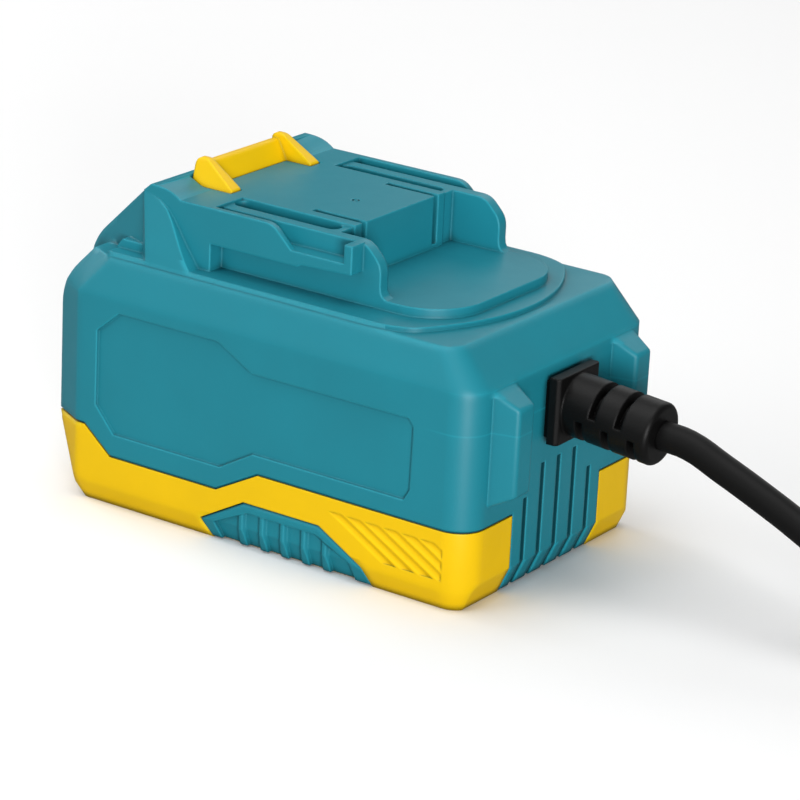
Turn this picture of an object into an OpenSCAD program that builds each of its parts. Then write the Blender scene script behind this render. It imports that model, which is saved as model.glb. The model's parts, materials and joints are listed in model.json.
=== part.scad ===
// Mains adapter in the shape of a slide-in tool battery pack.
// Frame: +X towards the cord end, +Z up, origin under the middle of the body on the table.

/* [Body] */
// Length from the latch end to the wall of the cord end
body_l = 121; // [112:1:135]
// Width across the long sides
body_w = 75; // [71:1:84]
// Height of the deck that carries the slide block
deck_z = 61.5; // [58:0.5:70]
// Height where the walls start to lean in
shoulder_z = 52.5; // [50:0.5:54]
// Corner radius at the cord end, seen from above
corner_r = 7; // [4:0.5:10]
// Length of the flat corner cuts at the latch end
tail_cut_l = 8.5; // [4:0.5:12]
// Depth of the flat corner cuts at the latch end
tail_cut_w = 4.5; // [2:0.5:7]
// Wall thickness of the upper shell
wall = 2.4; // [1.8:0.1:3]

/* [Sloped edges] */
// How far the long sides lean in above the shoulder
side_top_in = 2.5; // [1:0.5:4]
// How far the cord end leans in above the shoulder
end_top_in = 7.7; // [5:0.1:9]
// How far the latch end leans in above the shoulder
tail_top_in = 8; // [5:0.5:10]
// Bottom edge cut of the long sides, inwards
side_low_in = 2; // [1:0.5:2.5]
// Bottom edge cut of the long sides, upwards
side_low_up = 5; // [3:0.5:8]
// Bottom edge cut of the cord end, inwards
end_low_in = 2.9; // [1:0.1:3.4]
// Bottom edge cut of the cord end, upwards
end_low_up = 6.5; // [4:0.5:9]
// Bottom edge cut of the latch end, inwards
tail_low_in = 9; // [5:0.5:10]
// Bottom edge cut of the latch end, upwards
tail_low_up = 16; // [12:0.5:17]

/* [Seam and lower shell] */
// Height of the seam's high stretches
seam_z = 19.3; // [18.5:0.1:21]
// How far the seam dips in its middle stretch
seam_dip = 6.5; // [4:0.5:7]
// Width of the shadow groove along the seam
seam_groove = 0.6; // [0.3:0.1:0.9]
// Floor thickness of the lower shell
floor_t = 2.4; // [1.8:0.1:3]
// Wall thickness of the lower shell behind the grips
tray_wall = 4.9; // [4.6:0.1:5.5]

/* [Side panel] */
// Depth of the shallow panel on each long side
panel_depth = 0.8; // [0.4:0.1:1.2]
// Height of the panel's upper edge at the latch end
panel_top = 49.3; // [46:0.1:50]
// How far the panel's upper edge steps down
panel_step = 5.5; // [3:0.5:7]

/* [Grips] */
// Thickness of the grip inserts
grip_t = 3.6; // [3.4:0.1:3.8]
// Height of the grip's upper edge
grip_top = 11.7; // [10:0.1:12]
// Depth of the field between the grip ribs
grip_field = 1.1; // [0.8:0.1:1.4]
// Number of ribs on each grip
grip_ribs = 5; // [3:1:6]

/* [Vent tongue] */
// Width of the tongue that reaches down at the cord end
tongue_w = 37.2; // [34:0.2:40]
// Thickness of the tongue
tongue_t = 4.4; // [4:0.1:5]
// Width of a vent slot
vent_w = 1.7; // [1:0.1:2.4]
// Distance between vent slots
vent_pitch = 6.8; // [5:0.1:7.2]
// Top of the inner vent slots
vent_top = 29; // [25:0.5:31]
// Top of the two outer vent slots
vent_top_outer = 22.3; // [20.5:0.1:24]

/* [Boss ribs] */
// How far the boss ribs stand out of the cord end
boss_out = 6.2; // [4:0.1:8]
// Distance from the middle to the inner side of a boss rib
boss_in_y = 20.3; // [19.5:0.1:22]
// Width of a boss rib at the wall
boss_w = 9.7; // [8:0.1:10.2]
// Lower end of a boss rib at the wall
boss_low = 24.3; // [23:0.1:30]

/* [Slide block] */
// Height of the block's top above the deck
block_h = 16.5; // [15:0.5:19]
// Width across the rails' outer faces
rail_w = 60.8; // [59:0.2:63]
// Width across the walls of the bay
bay_w = 51.8; // [51:0.2:53.6]
// Thickness of the bay walls
ridge_t = 3; // [2:0.1:3.6]
// Height of the groove under a rail above the deck
rail_under = 7.9; // [7:0.1:9]
// Thickness of the rail's shelf
shelf_t = 3.5; // [2.5:0.1:4]
// Thickness of the rail's upturned lip
lip_t = 1.6; // [1.2:0.1:2]
// Width of the middle block between the channels
core_w = 36.8; // [36:0.2:38]
// Depth of the channels beside the middle block
channel_d = 6; // [4:0.5:7]
// Height of the bay's floor above the deck
bay_floor = 3.5; // [2.5:0.1:5]
// Height of the step around the block above the deck
ring_h = 1.2; // [0.8:0.1:1.8]
// Height of the raised end above the block's top
hump_h = 2.2; // [1:0.1:3]

/* [Contacts] */
// Distance between the two blade slots
blade_gap = 29.4; // [28.6:0.1:30]
// Width of a blade slot
blade_w = 1.8; // [1.2:0.1:2]
// Length of a blade slot
blade_l = 14.3; // [12:0.1:16]
// Sheet thickness of the contacts
contact_t = 0.6; // [0.4:0.1:0.7]

/* [Latch] */
// How far the latch stands above the block's top
latch_h = 6.4; // [4:0.1:7]
// How far the latch travels down
latch_travel = 6.6; // [6.4:0.1:7.2]
// Width across the latch's wedges
latch_w = 35.4; // [33:0.2:36]
// Clearance round the latch
latch_gap = 0.3; // [0.2:0.05:0.4]
// Width of the finger pad
pad_w = 25; // [20:0.5:27]
// Height of the finger pad
pad_h = 13; // [10:0.5:14]
// Wire diameter of the latch spring
spring_wire = 0.9; // [0.6:0.1:1.2]

/* [Screws] */
// Radius of a shell screw's shank
screw_r = 1.5; // [1.2:0.1:1.8]
// Radius of a shell screw's head
screw_head_r = 2.8; // [2.4:0.1:3]
// Height where the shell's posts meet
post_meet = 12; // [10.5:0.5:12.5]
// Radius of the shell's posts
post_r = 4.2; // [3.9:0.1:4.6]

/* [Circuit board] */
// Length of the circuit board
board_l = 69; // [67:1:70]
// Width of the circuit board
board_w = 60; // [58:1:62]
// Thickness of the circuit board
board_t = 1.6; // [1:0.1:2]
// Height of the posts under the board
board_lift = 4; // [3:0.5:6]

/* [Strain relief and cord] */
// Height of the strain relief's middle
gland_z = 42.3; // [40:0.1:43]
// Width of the strain relief's flange
flange_w = 17.4; // [16:0.1:19]
// Height of the strain relief's flange
flange_h = 16; // [15:0.1:18]
// Thickness of the flange
flange_t = 4.2; // [3:0.1:5]
// Length of the slotted sleeve
sleeve_l = 22.6; // [20:0.1:26]
// Diameter of the sleeve at the flange
sleeve_d = 15; // [14:0.1:15.8]
// How far the sleeve leans down, in degrees
sleeve_tilt = 5; // [0:1:8]
// Diameter of the cord
cord_d = 7; // [6:0.1:7.2]

/* [Plug] */
// Width of the plug's face
plug_w = 35; // [32:0.5:36]
// Thickness of the plug
plug_t = 13.6; // [12:0.1:14]
// Length of the plug's body
plug_l = 36; // [30:1:40]
// Radius of a plug pin
pin_r = 2; // [1.8:0.05:2.4]
// Length of a plug pin
pin_l = 19; // [15:0.5:20]
// Distance between the plug pins
pin_gap = 18.6; // [17:0.1:19]

/* [Hidden] */
$fn = 48;

teal = "#2B8796";
yellow = "#ECC614";
black = "#1E1E1C";
steel = "#B9BCC0";
brass = "#C9A54A";
copper = "#B5652F";
green = "#1F5B3A";

far = 200;
hair = 0.01;
fit = 0.1;
bite = 0.5;

// Body stations along X and half widths along Y
tail_x = -(body_l + boss_out) / 2;
end_x = tail_x + body_l;
half_w = body_w / 2;
deck_half = half_w - side_top_in;
roof_z = deck_z - wall;

// Slide block stations
ring_half = deck_half - 0.6;
ring_z = deck_z + ring_h;
bay_z = deck_z + bay_floor;
top_z = deck_z + block_h;
ridge_z = top_z - 0.6;
hump_z = top_z + hump_h;
hood_x = tail_x + 21.8;
crest_x = hood_x + 2;
hump_x = tail_x + 30.4;
groove_x = tail_x + 41.6;
hood_foot = 3;
hood_lift = 0.8;
hood_slope = (hump_z - deck_z - hood_lift) / (crest_x - tail_x - hood_foot);
hood_top = hump_z - (crest_x - hood_x) * hood_slope;
core_front = end_x - 47.2;
bay_front = end_x - 34.4;
rail_front = end_x - 39.4;
floor_front = end_x - 16;
ring_front = end_x - 10.2;
rail_half = rail_w / 2;
bay_half = bay_w / 2;
core_half = core_w / 2;
shelf_low = deck_z + rail_under;
shelf_top = shelf_low + shelf_t;

// Latch stations
latch_back = crest_x + 2;
latch_stem = latch_back + 4.6;
latch_tip = latch_stem + 7.2;
latch_half = latch_w / 2;
wedge_w = 3.8;
wedge_lean = 2;
latch_top = top_z + latch_h;
tip_under = top_z - 2;
arm_low = shoulder_z - 8.5;
arm_h = 6;
pad_top = shoulder_z + 1;
spring_x = (latch_back + latch_stem) / 2;
spring_seat = arm_low - 14;
spring_r = 4;

// Contact stations
blade_y = blade_gap / 2;
pocket_w = 3.4;
pocket_back = core_front - blade_l + 1.1;
pocket_front = core_front - 2.5;
pocket_top = top_z - 2.5;
block_plate = 3.6;
tab_x = (pocket_back + pocket_front) / 2;
tab_l = 5;
tab_down = 8;

// Shell posts and board posts
post_xs = [tail_x + 18.6, end_x - 9.4];
post_tops = [roof_z + bite, shoulder_z + 3];
post_y = half_w - 10.5;
board_x = end_x - 14.4 - board_l;
board_z = floor_t + board_lift;
board_top = board_z + board_t;
board_hole_in = 4;
board_screw_r = 1.1;
board_holes_x = [board_x + board_hole_in, board_x + board_l - board_hole_in];
board_hole_y = board_w / 2 - board_hole_in;
screw_bite = 11;
screw_seat = 4;

// Strain relief stations
gland_neck = 6;
gland_lock = 8;
gland_inner = end_x - wall - 2.4;
flange_x = end_x + flange_t;
sleeve_dir = [cos(sleeve_tilt), 0, -sin(sleeve_tilt)];
sleeve_end = [flange_x, 0, gland_z] + sleeve_l * sleeve_dir;

// Cord route in millimetres, along X from the sleeve's end: down to the table, then straight into the coil
cord_r = cord_d / 2;
coil_lean = 30;
coil_dir = [cos(coil_lean), -sin(coil_lean), 0];
coil_start = [sleeve_end[0] + 91.9, -20, 4.2];
run_steps = [[15.9, 0, 36.4], [25.9, 0, 32.4], [35.9, 0, 28], [45.9, -0.6, 23.2], [55.9, -2.4, 18],
             [64.9, -5.6, 12.9], [72.9, -9.4, 8.6], [79.9, -13.2, 5.4]];
run_path = concat([sleeve_end, sleeve_end + cord_d * sleeve_dir],
                  [for (p = run_steps) p + [sleeve_end[0], 0, 0]],
                  [coil_start - cord_d * coil_dir, coil_start]);

// Coil in four layers of two turns each: it winds in and out by turns and climbs where it turns back
coil_turns = 8;
coil_layer = 2;
coil_rings = 24;
coil_inner = 28;
coil_step = cord_d + 0.5;
coil_outer = coil_inner + coil_step * coil_layer;
coil_mid = coil_start + cord_d * coil_dir + coil_outer * [sin(coil_lean), cos(coil_lean), 0];
function coil_radius(t) = coil_inner + coil_step * abs(t % (2 * coil_layer) - coil_layer);
function coil_climb(t, k) = min(1, max(0, 2 * (t - coil_layer * k) + 0.5));
function coil_height(t) = coil_step * (coil_climb(t, 1) + coil_climb(t, 2) + coil_climb(t, 3));
function coil_point(t) =
    let (a = coil_lean - 360 * t)
    coil_mid + [-coil_radius(t) * sin(a), -coil_radius(t) * cos(a), coil_height(t)];
coil_loops = [for (i = [0 : coil_turns * coil_rings]) coil_point(i / coil_rings)];
coil_end = coil_point(coil_turns) + cord_d * coil_dir;
coil_path = concat([coil_start], coil_loops, [coil_end]);

// Cord from the coil's outer loop up onto the coil, where the plug lies
tail_steps = [[10.9, -4.6, 0.9], [17.9, -4.9, 2.9], [25.9, -3.4, 5.3], [33.3, -0.4, 7.2], [39.2, 4.1, 8.2],
              [43.7, 10, 9], [46.4, 16.9, 9.8], [47.5, 24, 10.4], [47.7, 30, 10.6], [47.7, 35, 10.6]];
tail_path = concat([coil_end, coil_end + cord_d * coil_dir], [for (p = tail_steps) coil_end + p]);
plug_at = tail_path[len(tail_path) - 1];
pin_in = 6;
pin_step = 0.4;
tie_w = 9;
tie_t = 0.6;
tie_turn = 130;

// Least space between loops of the coil, measured between points at least half a loop apart
coil_gap = min([for (i = [0 : len(coil_loops) - 1])
                   for (j = [i + coil_rings / 2 : 1 : len(coil_loops) - 1])
                       norm(coil_loops[i] - coil_loops[j])]) - cord_d;
echo(coil_gap = coil_gap);

// Grip, lead, transformer and heatsink stations
grip_in = 46.5;
grip_x = tail_x + grip_in;
lead_r = 1;
core_l = 30;
core_d = 11;
core_h = 27;
window_l = 20;
window_h = 6.8;
core_x = board_x + 20;
core_y = 3;
bulk_in = 40;
bulk_side = 19;
bulk_r = 8;
bulk_h = 28;
out_can_in = 11;
out_can_side = 18;
out_can_pitch = 13;
out_can_r = 5;
out_can_h = 20;
device_w = 10;
device_d = 4.4;
device_h = 9;
device_lift = 8;
tab_t = 1.3;
tab_h = 6.5;
sink_h = 30;
sink_t = 2;
fin_t = 1.4;
fin_l = 6;
sink_y = 20.4;
sink_x0 = board_x + 12;
sink_x1 = board_x + 55;

// Outline of the body seen from above, drawn in by an inset
module body_plan(inset = 0) {
    w = half_w - inset;
    x0 = tail_x + inset;
    x1 = end_x - inset;
    r = corner_r - inset / 2;
    difference() {
        polygon([[x0, tail_cut_w - w], [x0 + tail_cut_l, -w], [x1, -w], [x1, w],
                 [x0 + tail_cut_l, w], [x0, w - tail_cut_w]]);
        for (side = [-1, 1])
            translate([x1 - r, side * (w - r)])
                difference() {
                    translate([0, side > 0 ? 0 : -2 * r])
                        square([2 * r, 2 * r]);
                    circle(r);
                }
    }
}

// Outline of the deck seen from above
module deck_plan() {
    r = corner_r - 2;
    x0 = tail_x + tail_top_in;
    x1 = end_x - end_top_in - r;
    hull() {
        polygon([[x0, 4 - deck_half], [x0 + tail_cut_l, -deck_half],
                 [x0 + tail_cut_l, deck_half], [x0, deck_half - 4]]);
        for (side = [-1, 1])
            translate([x1, side * (deck_half - r)])
                circle(r, $fn = 32);
    }
}

// Solid from an outline in the XZ plane, between two values of Y
module along_y(points, y0, y1) {
    translate([0, y1, 0])
        rotate([90, 0, 0])
            linear_extrude(y1 - y0)
                polygon(points);
}

// Solid from an outline in the YZ plane, between two values of X
module along_x(points, x0, x1) {
    translate([x0, 0, 0])
        rotate([90, 0, 90])
            linear_extrude(x1 - x0)
                polygon(points);
}

// Outline whose corners are rounded; the third value of a corner is how far its rounding reaches
function soft(corners) =
    [for (i = [0 : len(corners) - 1])
        let (n = len(corners), p = flat(corners[i]), reach = corners[i][2],
             a = unit(flat(corners[(i + n - 1) % n]) - p), b = unit(flat(corners[(i + 1) % n]) - p))
        each reach == 0 ? [p] : [for (t = [0 : 0.25 : 1]) p + reach * (pow(1 - t, 2) * a + t * t * b)]];
function flat(p) = [p[0], p[1]];

// Box between two corners
module box(low, high) {
    translate(low)
        cube(high - low);
}

// Upright cylinder
module post(x, y, z0, z1, r) {
    translate([x, y, z0])
        cylinder(h = z1 - z0, r = r);
}

// Straight walls of the body with their bottom edge cuts
module lower_form() {
    side_view = [[tail_x + tail_low_in, 0], [end_x - end_low_in, 0], [end_x, end_low_up],
                 [end_x, shoulder_z], [tail_x, shoulder_z], [tail_x, tail_low_up]];
    end_view = [[side_low_in - half_w, 0], [half_w - side_low_in, 0], [half_w, side_low_up],
                [half_w, shoulder_z], [-half_w, shoulder_z], [-half_w, side_low_up]];
    intersection() {
        linear_extrude(shoulder_z)
            body_plan();
        along_y(side_view, -half_w - 1, half_w + 1);
        along_x(end_view, tail_x - 1, end_x + 1);
    }
}

// Leaning walls between the shoulder and the deck
module upper_form() {
    hull() {
        translate([0, 0, shoulder_z - hair])
            linear_extrude(hair)
                body_plan();
        translate([0, 0, deck_z - hair])
            linear_extrude(hair)
                deck_plan();
    }
}

// Seam line in the XZ plane from the latch end to the cord end
seam_line = [[tail_x - 1, seam_z], [tail_x + 10.9, seam_z], [tail_x + 18.8, seam_z - seam_dip],
             [tail_x + 50.6, seam_z - seam_dip], [tail_x + 62.6, seam_z], [end_x + 1, seam_z]];

// Everything above the seam, raised by lift
module above_seam(lift = 0) {
    raised = [for (p = seam_line) p + [0, lift]];
    along_y(concat(raised, [[end_x + 1, far], [tail_x - 1, far]]), -half_w - 1, half_w + 1);
}

// Place of the tongue below the seam, grown by a clearance
module tongue_space(gap = 0) {
    box([end_x - tongue_t - gap, -tongue_w / 2 - gap, 0.3 - 2 * gap],
        [end_x + 1, tongue_w / 2 + gap, seam_z + 1]);
}

// Hollow of the upper shell
module upper_hollow() {
    box_half = deck_half - wall;
    translate([0, 0, seam_z - seam_dip - 2])
        linear_extrude(shoulder_z - 1 - seam_z + seam_dip + 2)
            body_plan(wall);
    box([tail_x + tail_top_in + wall, -box_half, seam_z],
        [end_x - end_top_in - wall, box_half, roof_z]);
}

// Tapered rib beside the strain relief
module boss_rib() {
    top = shoulder_z - 0.2;
    front = end_x + boss_out;
    from_above = [[end_x - bite, boss_in_y], [front, boss_in_y + 1.6], [front, boss_in_y + boss_w - 1.8],
                  [end_x - bite, boss_in_y + boss_w]];
    from_side = [[end_x - bite, boss_low], [front, boss_low + 3.4], [front, top - 3.6], [end_x - bite, top]];
    intersection() {
        translate([0, 0, boss_low - 1])
            linear_extrude(top - boss_low + 2)
                polygon(from_above);
        along_y(from_side, boss_in_y - 1, boss_in_y + boss_w + 1);
    }
}

// Step around the slide block, with a wide round front
module ring_step() {
    bow = 51;
    x0 = tail_x + tail_top_in + tail_cut_l - 2;
    r = 22;
    translate([0, 0, deck_z - bite])
        linear_extrude(ring_h + bite)
            intersection() {
                union() {
                    translate([x0, -ring_half])
                        square([ring_front - r - x0, 2 * ring_half]);
                    translate([x0, r - ring_half])
                        square([ring_front - x0, 2 * (ring_half - r)]);
                    for (side = [-1, 1])
                        translate([ring_front - r, side * (ring_half - r)])
                            circle(r);
                }
                union() {
                    translate([ring_front - bow, 0])
                        circle(bow, $fn = 96);
                    translate([x0, -ring_half])
                        square([ring_front - bow - x0, 2 * ring_half]);
                }
            }
}

// Floor of the bay with its rounded front
module bay_base() {
    r = 13.6;
    translate([0, 0, deck_z - bite])
        linear_extrude(bay_floor + bite)
            union() {
                translate([groove_x - 1, -bay_half])
                    square([floor_front - r - groove_x + 1, bay_w]);
                translate([groove_x - 1, r - bay_half])
                    square([floor_front - groove_x + 1, bay_w - 2 * r]);
                for (side = [-1, 1])
                    translate([floor_front - r, side * (bay_half - r)])
                        circle(r);
            }
}

// Wall of the bay on one side, with its sloped end and a fillet at its foot
module bay_wall() {
    slope = 4.6;
    round = 2.2;
    foot = 3;
    low = bay_z - 0.2;
    toe = bay_front + 2 * foot;
    outline = soft([[groove_x - 1, deck_z, 0], [toe, deck_z, 0], [toe, low, 0], [bay_front, low, foot],
                    [bay_front, ridge_z - slope, round],
                    [bay_front - slope, ridge_z, round], [groove_x - 1, ridge_z, 0]]);
    along_y(outline, bay_half - ridge_t, bay_half);
}

// Rail shelf with its upturned lip, which ends at lip_end and slopes down; its entry is relieved below
module rail(lip_end, stop) {
    slope = 5.5;
    entry = rail_front - 15;
    relief = 1.2;
    shelf = [[groove_x - 1, shelf_low], [entry, shelf_low], [entry + 1, shelf_low + relief / 2],
             [rail_front, shelf_low + relief], [rail_front, shelf_top], [groove_x - 1, shelf_top]];
    along_y(shelf, bay_half - bite, rail_half);
    lip = soft([[groove_x - 1, shelf_top - bite, 0], [lip_end + slope, shelf_top - bite, 0],
                [lip_end + slope, shelf_top, 0], [lip_end, top_z, 2], [groove_x - 1, top_z, 0]]);
    along_y(lip, rail_half - lip_t, rail_half);
    if (stop)
        box([rail_front - 2.2, bay_half - bite, shelf_low + relief], [rail_front, rail_half, ridge_z]);
}

// Middle block with a round-ended channel on each side of it
module middle_block() {
    side = bay_half - ridge_t;
    r = (side - core_half) / 2;
    channel_end = core_front - 2.4;
    difference() {
        union() {
            box([groove_x - 1, -core_half, deck_z], [core_front, core_half, top_z]);
            box([groove_x - 1, -side - bite, deck_z], [core_front - 0.8, side + bite, ridge_z]);
        }
        for (s = [-1, 1])
            translate([0, s * (core_half + r), top_z - channel_d])
                linear_extrude(far) {
                    translate([groove_x + r, -r])
                        square([channel_end - groove_x - 2 * r, 2 * r]);
                    for (x = [groove_x + r, channel_end - r])
                        translate([x, 0])
                            circle(r);
                }
    }
}

// Raised end of the block and the wings that flare down to the step
module end_block() {
    steps = 8;
    flare_w = ring_half - rail_half;
    curve = [for (i = [0 : steps])
                [crest_x + (hump_x - crest_x) * i / steps, top_z + hump_h * (1 + cos(180 * i / steps)) / 2]];
    crown = concat([[hood_x, deck_z - bite], [hood_x, hood_top]], curve,
                   [[groove_x, top_z], [groove_x, deck_z - bite]]);
    along_y(crown, -rail_half, rail_half);
    wing = [[hood_x, deck_z - bite], [hood_x, hood_top - 0.2], [hood_x + 2.2, top_z - 0.1],
            [hood_x + 5, top_z - 1], [hood_x + 7.5, top_z - 2.8], [hood_x + 9.5, top_z - 5.2],
            [hood_x + 13.2, top_z - 10.8], [hood_x + 16.6, ring_z], [hood_x + 16.6, deck_z - bite]];
    section = [[-ring_half, deck_z - bite], [ring_half, deck_z - bite], [ring_half, ring_z],
               [rail_half, top_z], [-rail_half, top_z], [-ring_half, ring_z]];
    intersection() {
        along_y(wing, -half_w, half_w);
        along_x(section, tail_x, end_x);
        linear_extrude(far)
            polygon([[hood_x, -rail_half], [hood_x + flare_w, -ring_half], [end_x, -ring_half],
                     [end_x, ring_half], [hood_x + flare_w, ring_half], [hood_x, rail_half]]);
    }
}

// Sloped hood between the raised end and the latch end's wall
module hood() {
    base = shoulder_z - 0.5;
    tail_half = 22;
    slope = soft([[hood_x + bite, base, 0], [hood_x + bite, hood_top + bite * hood_slope, 0],
                  [tail_x + hood_foot, deck_z + hood_lift, 3], [tail_x, deck_z - 4, 2], [tail_x, base, 0]]);
    intersection() {
        along_y(slope, -half_w, half_w);
        translate([0, 0, base - 1])
            linear_extrude(hump_z - base + 2)
                polygon([[hood_x + bite, -rail_half + 0.4], [hood_x + bite, rail_half - 0.4],
                         [tail_x, tail_half], [tail_x, -tail_half]]);
    }
}

// Plinth under the hood, as high as the bay's floor
module plinth() {
    back = tail_x + 13.8;
    along_y([[back, deck_z - bite], [back, ring_z], [back + 1.8, bay_z], [hood_x + bite, bay_z],
             [hood_x + bite, deck_z - bite]], -rail_half + 0.2, rail_half - 0.2);
}

// Space that the latch needs, at rest and pressed
module latch_space() {
    gap = latch_gap;
    side = latch_half + gap;
    box([latch_back - gap, -side, shoulder_z - 2], [latch_stem + gap, side, far]);
    for (s = [-1, 1])
        box([latch_stem, s > 0 ? latch_half - wedge_w - gap : -side, tip_under - latch_travel - gap],
            [latch_tip + gap, s > 0 ? side : wedge_w + gap - latch_half, far]);
    box([tail_x - 1, -pad_w / 2 - gap, pad_top - pad_h - latch_travel - 1.5],
        [tail_x + 5.2, pad_w / 2 + gap, pad_top + 0.5]);
}

// Blade slot and the wider contact pocket behind it, on one side
module blade_space(side) {
    y = side * blade_y;
    box([core_front - blade_l, y - blade_w / 2, bay_z + 1], [core_front + 1, y + blade_w / 2, far]);
    box([pocket_back, y - pocket_w / 2, roof_z - 1], [pocket_front, y + pocket_w / 2, pocket_top]);
}

// Small moulding mark on the block's top: a ring groove round a nub
module gate_mark() {
    mark_r = 1;
    translate([core_front - 11.7, -1.6, top_z])
        difference() {
            cylinder(h = 0.8, r = mark_r, center = true);
            cylinder(h = 1, r = mark_r / 2, center = true);
        }
}

// Shallow panel on a long side, with the same step as the seam
module panel_cut() {
    low = seam_z - seam_dip + 5.9;
    step_low = seam_z + 4.9;
    step_top = panel_top - panel_step;
    outline = [[tail_x + 19.8, low], [tail_x + 51.5, low], [tail_x + 61, step_low], [end_x - 17.5, step_low],
               [end_x - 16, step_low + 2.6], [end_x - 15.8, step_top - 1.9], [end_x - 17.3, step_top],
               [tail_x + 59.6, step_top], [tail_x + 49.7, panel_top], [tail_x + 20.8, panel_top],
               [tail_x + 14.3, panel_top - 5.5], [tail_x + 14.2, low + 6.3]];
    along_y(outline, half_w - panel_depth, half_w + 1);
}

// Shadow groove along the outer edge of the seam
module seam_shadow() {
    difference() {
        above_seam(-hair);
        above_seam(seam_groove);
        translate([0, 0, -1])
            linear_extrude(far)
                body_plan(seam_groove);
        tongue_space();
    }
}

// Teal upper shell with slide block, tongue and boss ribs
module upper_shell() {
    color(teal)
        difference() {
            union() {
                difference() {
                    union() {
                        intersection() {
                            lower_form();
                            above_seam();
                        }
                        upper_form();
                    }
                    upper_hollow();
                }
                intersection() {
                    lower_form();
                    tongue_space();
                }
                for (side = [0, 1])
                    mirror([0, side, 0])
                        boss_rib();
                ring_step();
                bay_base();
                middle_block();
                end_block();
                hood();
                plinth();
                for (side = [0, 1])
                    mirror([0, side, 0])
                        bay_wall();
                rail(core_front - 2.1, false);
                mirror([0, 1, 0])
                    rail(groove_x + 17.5, true);
                for (i = [0, 1])
                    for (side = [-1, 1])
                        post(post_xs[i], side * post_y, post_meet, post_tops[i], post_r);
            }
            seam_shadow();
            for (side = [0, 1])
                mirror([0, side, 0])
                    panel_cut();
            for (i = [-2 : 2])
                box([end_x - tongue_t - 1, i * vent_pitch - vent_w / 2, -1],
                    [end_x + 1, i * vent_pitch + vent_w / 2, abs(i) == 2 ? vent_top_outer : vent_top]);
            translate([end_x - 2 * wall, 0, gland_z])
                rotate([0, 90, 0])
                    cylinder(h = 3 * wall, r = gland_neck + fit);
            latch_space();
            gate_mark();
            for (side = [-1, 1])
                blade_space(side);
            for (x = post_xs)
                for (side = [-1, 1])
                    post(x, side * post_y, post_meet - 1, post_meet + screw_bite, screw_r + fit / 2);
        }
}

// Outline of a grip in the XZ plane, drawn in by an inset
function grip_outline(inset) =
    [[grip_x + 3.4 + inset, -1], [grip_x + inset * 1.6, 4.8],
     [grip_x + 12.4 + inset * 0.4, grip_top - inset], [grip_x + 33.9 - inset * 0.4, grip_top - inset],
     [grip_x + 46.1 - inset * 1.4, 4.9], [grip_x + 48.9 - inset * 2, -1]];

// Grip insert on the long side at +Y; the grooves between its ribs run out over the bottom edge
module grip() {
    pitch = 24 / (grip_ribs - 1);
    frame = 2.4;
    difference() {
        intersection() {
            lower_form();
            along_y(grip_outline(0), half_w - grip_t, half_w + 1);
            box([tail_x, 0, 0.4], [end_x, far, far]);
        }
        difference() {
            along_y(grip_outline(frame), half_w - grip_t, half_w + 1);
            translate([0, -grip_field, 0])
                lower_form();
            for (i = [0 : grip_ribs - 1])
                translate([grip_x + 11.7 + i * pitch, half_w, -1])
                    linear_extrude(grip_top)
                        polygon([[-2.6, -grip_t - 1], [-1.9, -grip_field], [-1, -0.1], [1, -0.1],
                                 [1.9, -grip_field], [2.6, -grip_t - 1]]);
        }
    }
}

module grip_right() {
    color(teal)
        grip();
}

module grip_left() {
    color(teal)
        mirror([0, 1, 0])
            grip();
}

// Place of a grip in the lower shell at +Y
module grip_space() {
    grown = [for (p = grip_outline(0)) p + [p[0] < grip_x + 20 ? -fit : fit, p[1] > 6 ? fit : 0]];
    along_y(grown, half_w - grip_t, half_w + 1);
}

// Slanted flutes beside a grip, at +Y
module hatch() {
    count = 6;
    pitch = 5.08;
    lean = 29.4;
    depth = 0.45;
    r = 1.3;
    first = grip_x + 38.6;
    low = 7.4;
    top = seam_z - 3.2;
    before = 3;
    length = (top - low) / sin(lean) + 2 * before;
    intersection() {
        for (i = [0 : count - 1])
            translate([first + i * pitch, half_w + r - depth, top])
                rotate([0, 90 + lean, 0])
                    translate([0, 0, -before])
                        cylinder(h = length, r = r);
        box([tail_x, 0, low], [end_x - 6.4, far, top]);
    }
}

// Hollow of the lower shell
module tray_hollow() {
    side_view = [[tail_x + tail_low_in + wall, floor_t], [end_x - tongue_t, floor_t],
                 [end_x - tongue_t, far], [tail_x + wall, far], [tail_x + wall, tail_low_up + wall]];
    intersection() {
        along_y(side_view, tray_wall - half_w, half_w - tray_wall);
        linear_extrude(far)
            body_plan(wall);
    }
}

// What the rounded bottom corner at the cord end leaves out, at +Y
module low_corner() {
    difference() {
        box([end_x - corner_r, half_w - corner_r, -1], [end_x + 1, half_w + 1, side_low_up]);
        translate([end_x - corner_r, half_w - corner_r, 0])
            cylinder(h = side_low_up, r1 = corner_r - side_low_in, r2 = corner_r);
        translate([end_x - corner_r, half_w - corner_r, -2])
            cylinder(h = 2 + hair, r = corner_r - side_low_in);
    }
}

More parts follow.
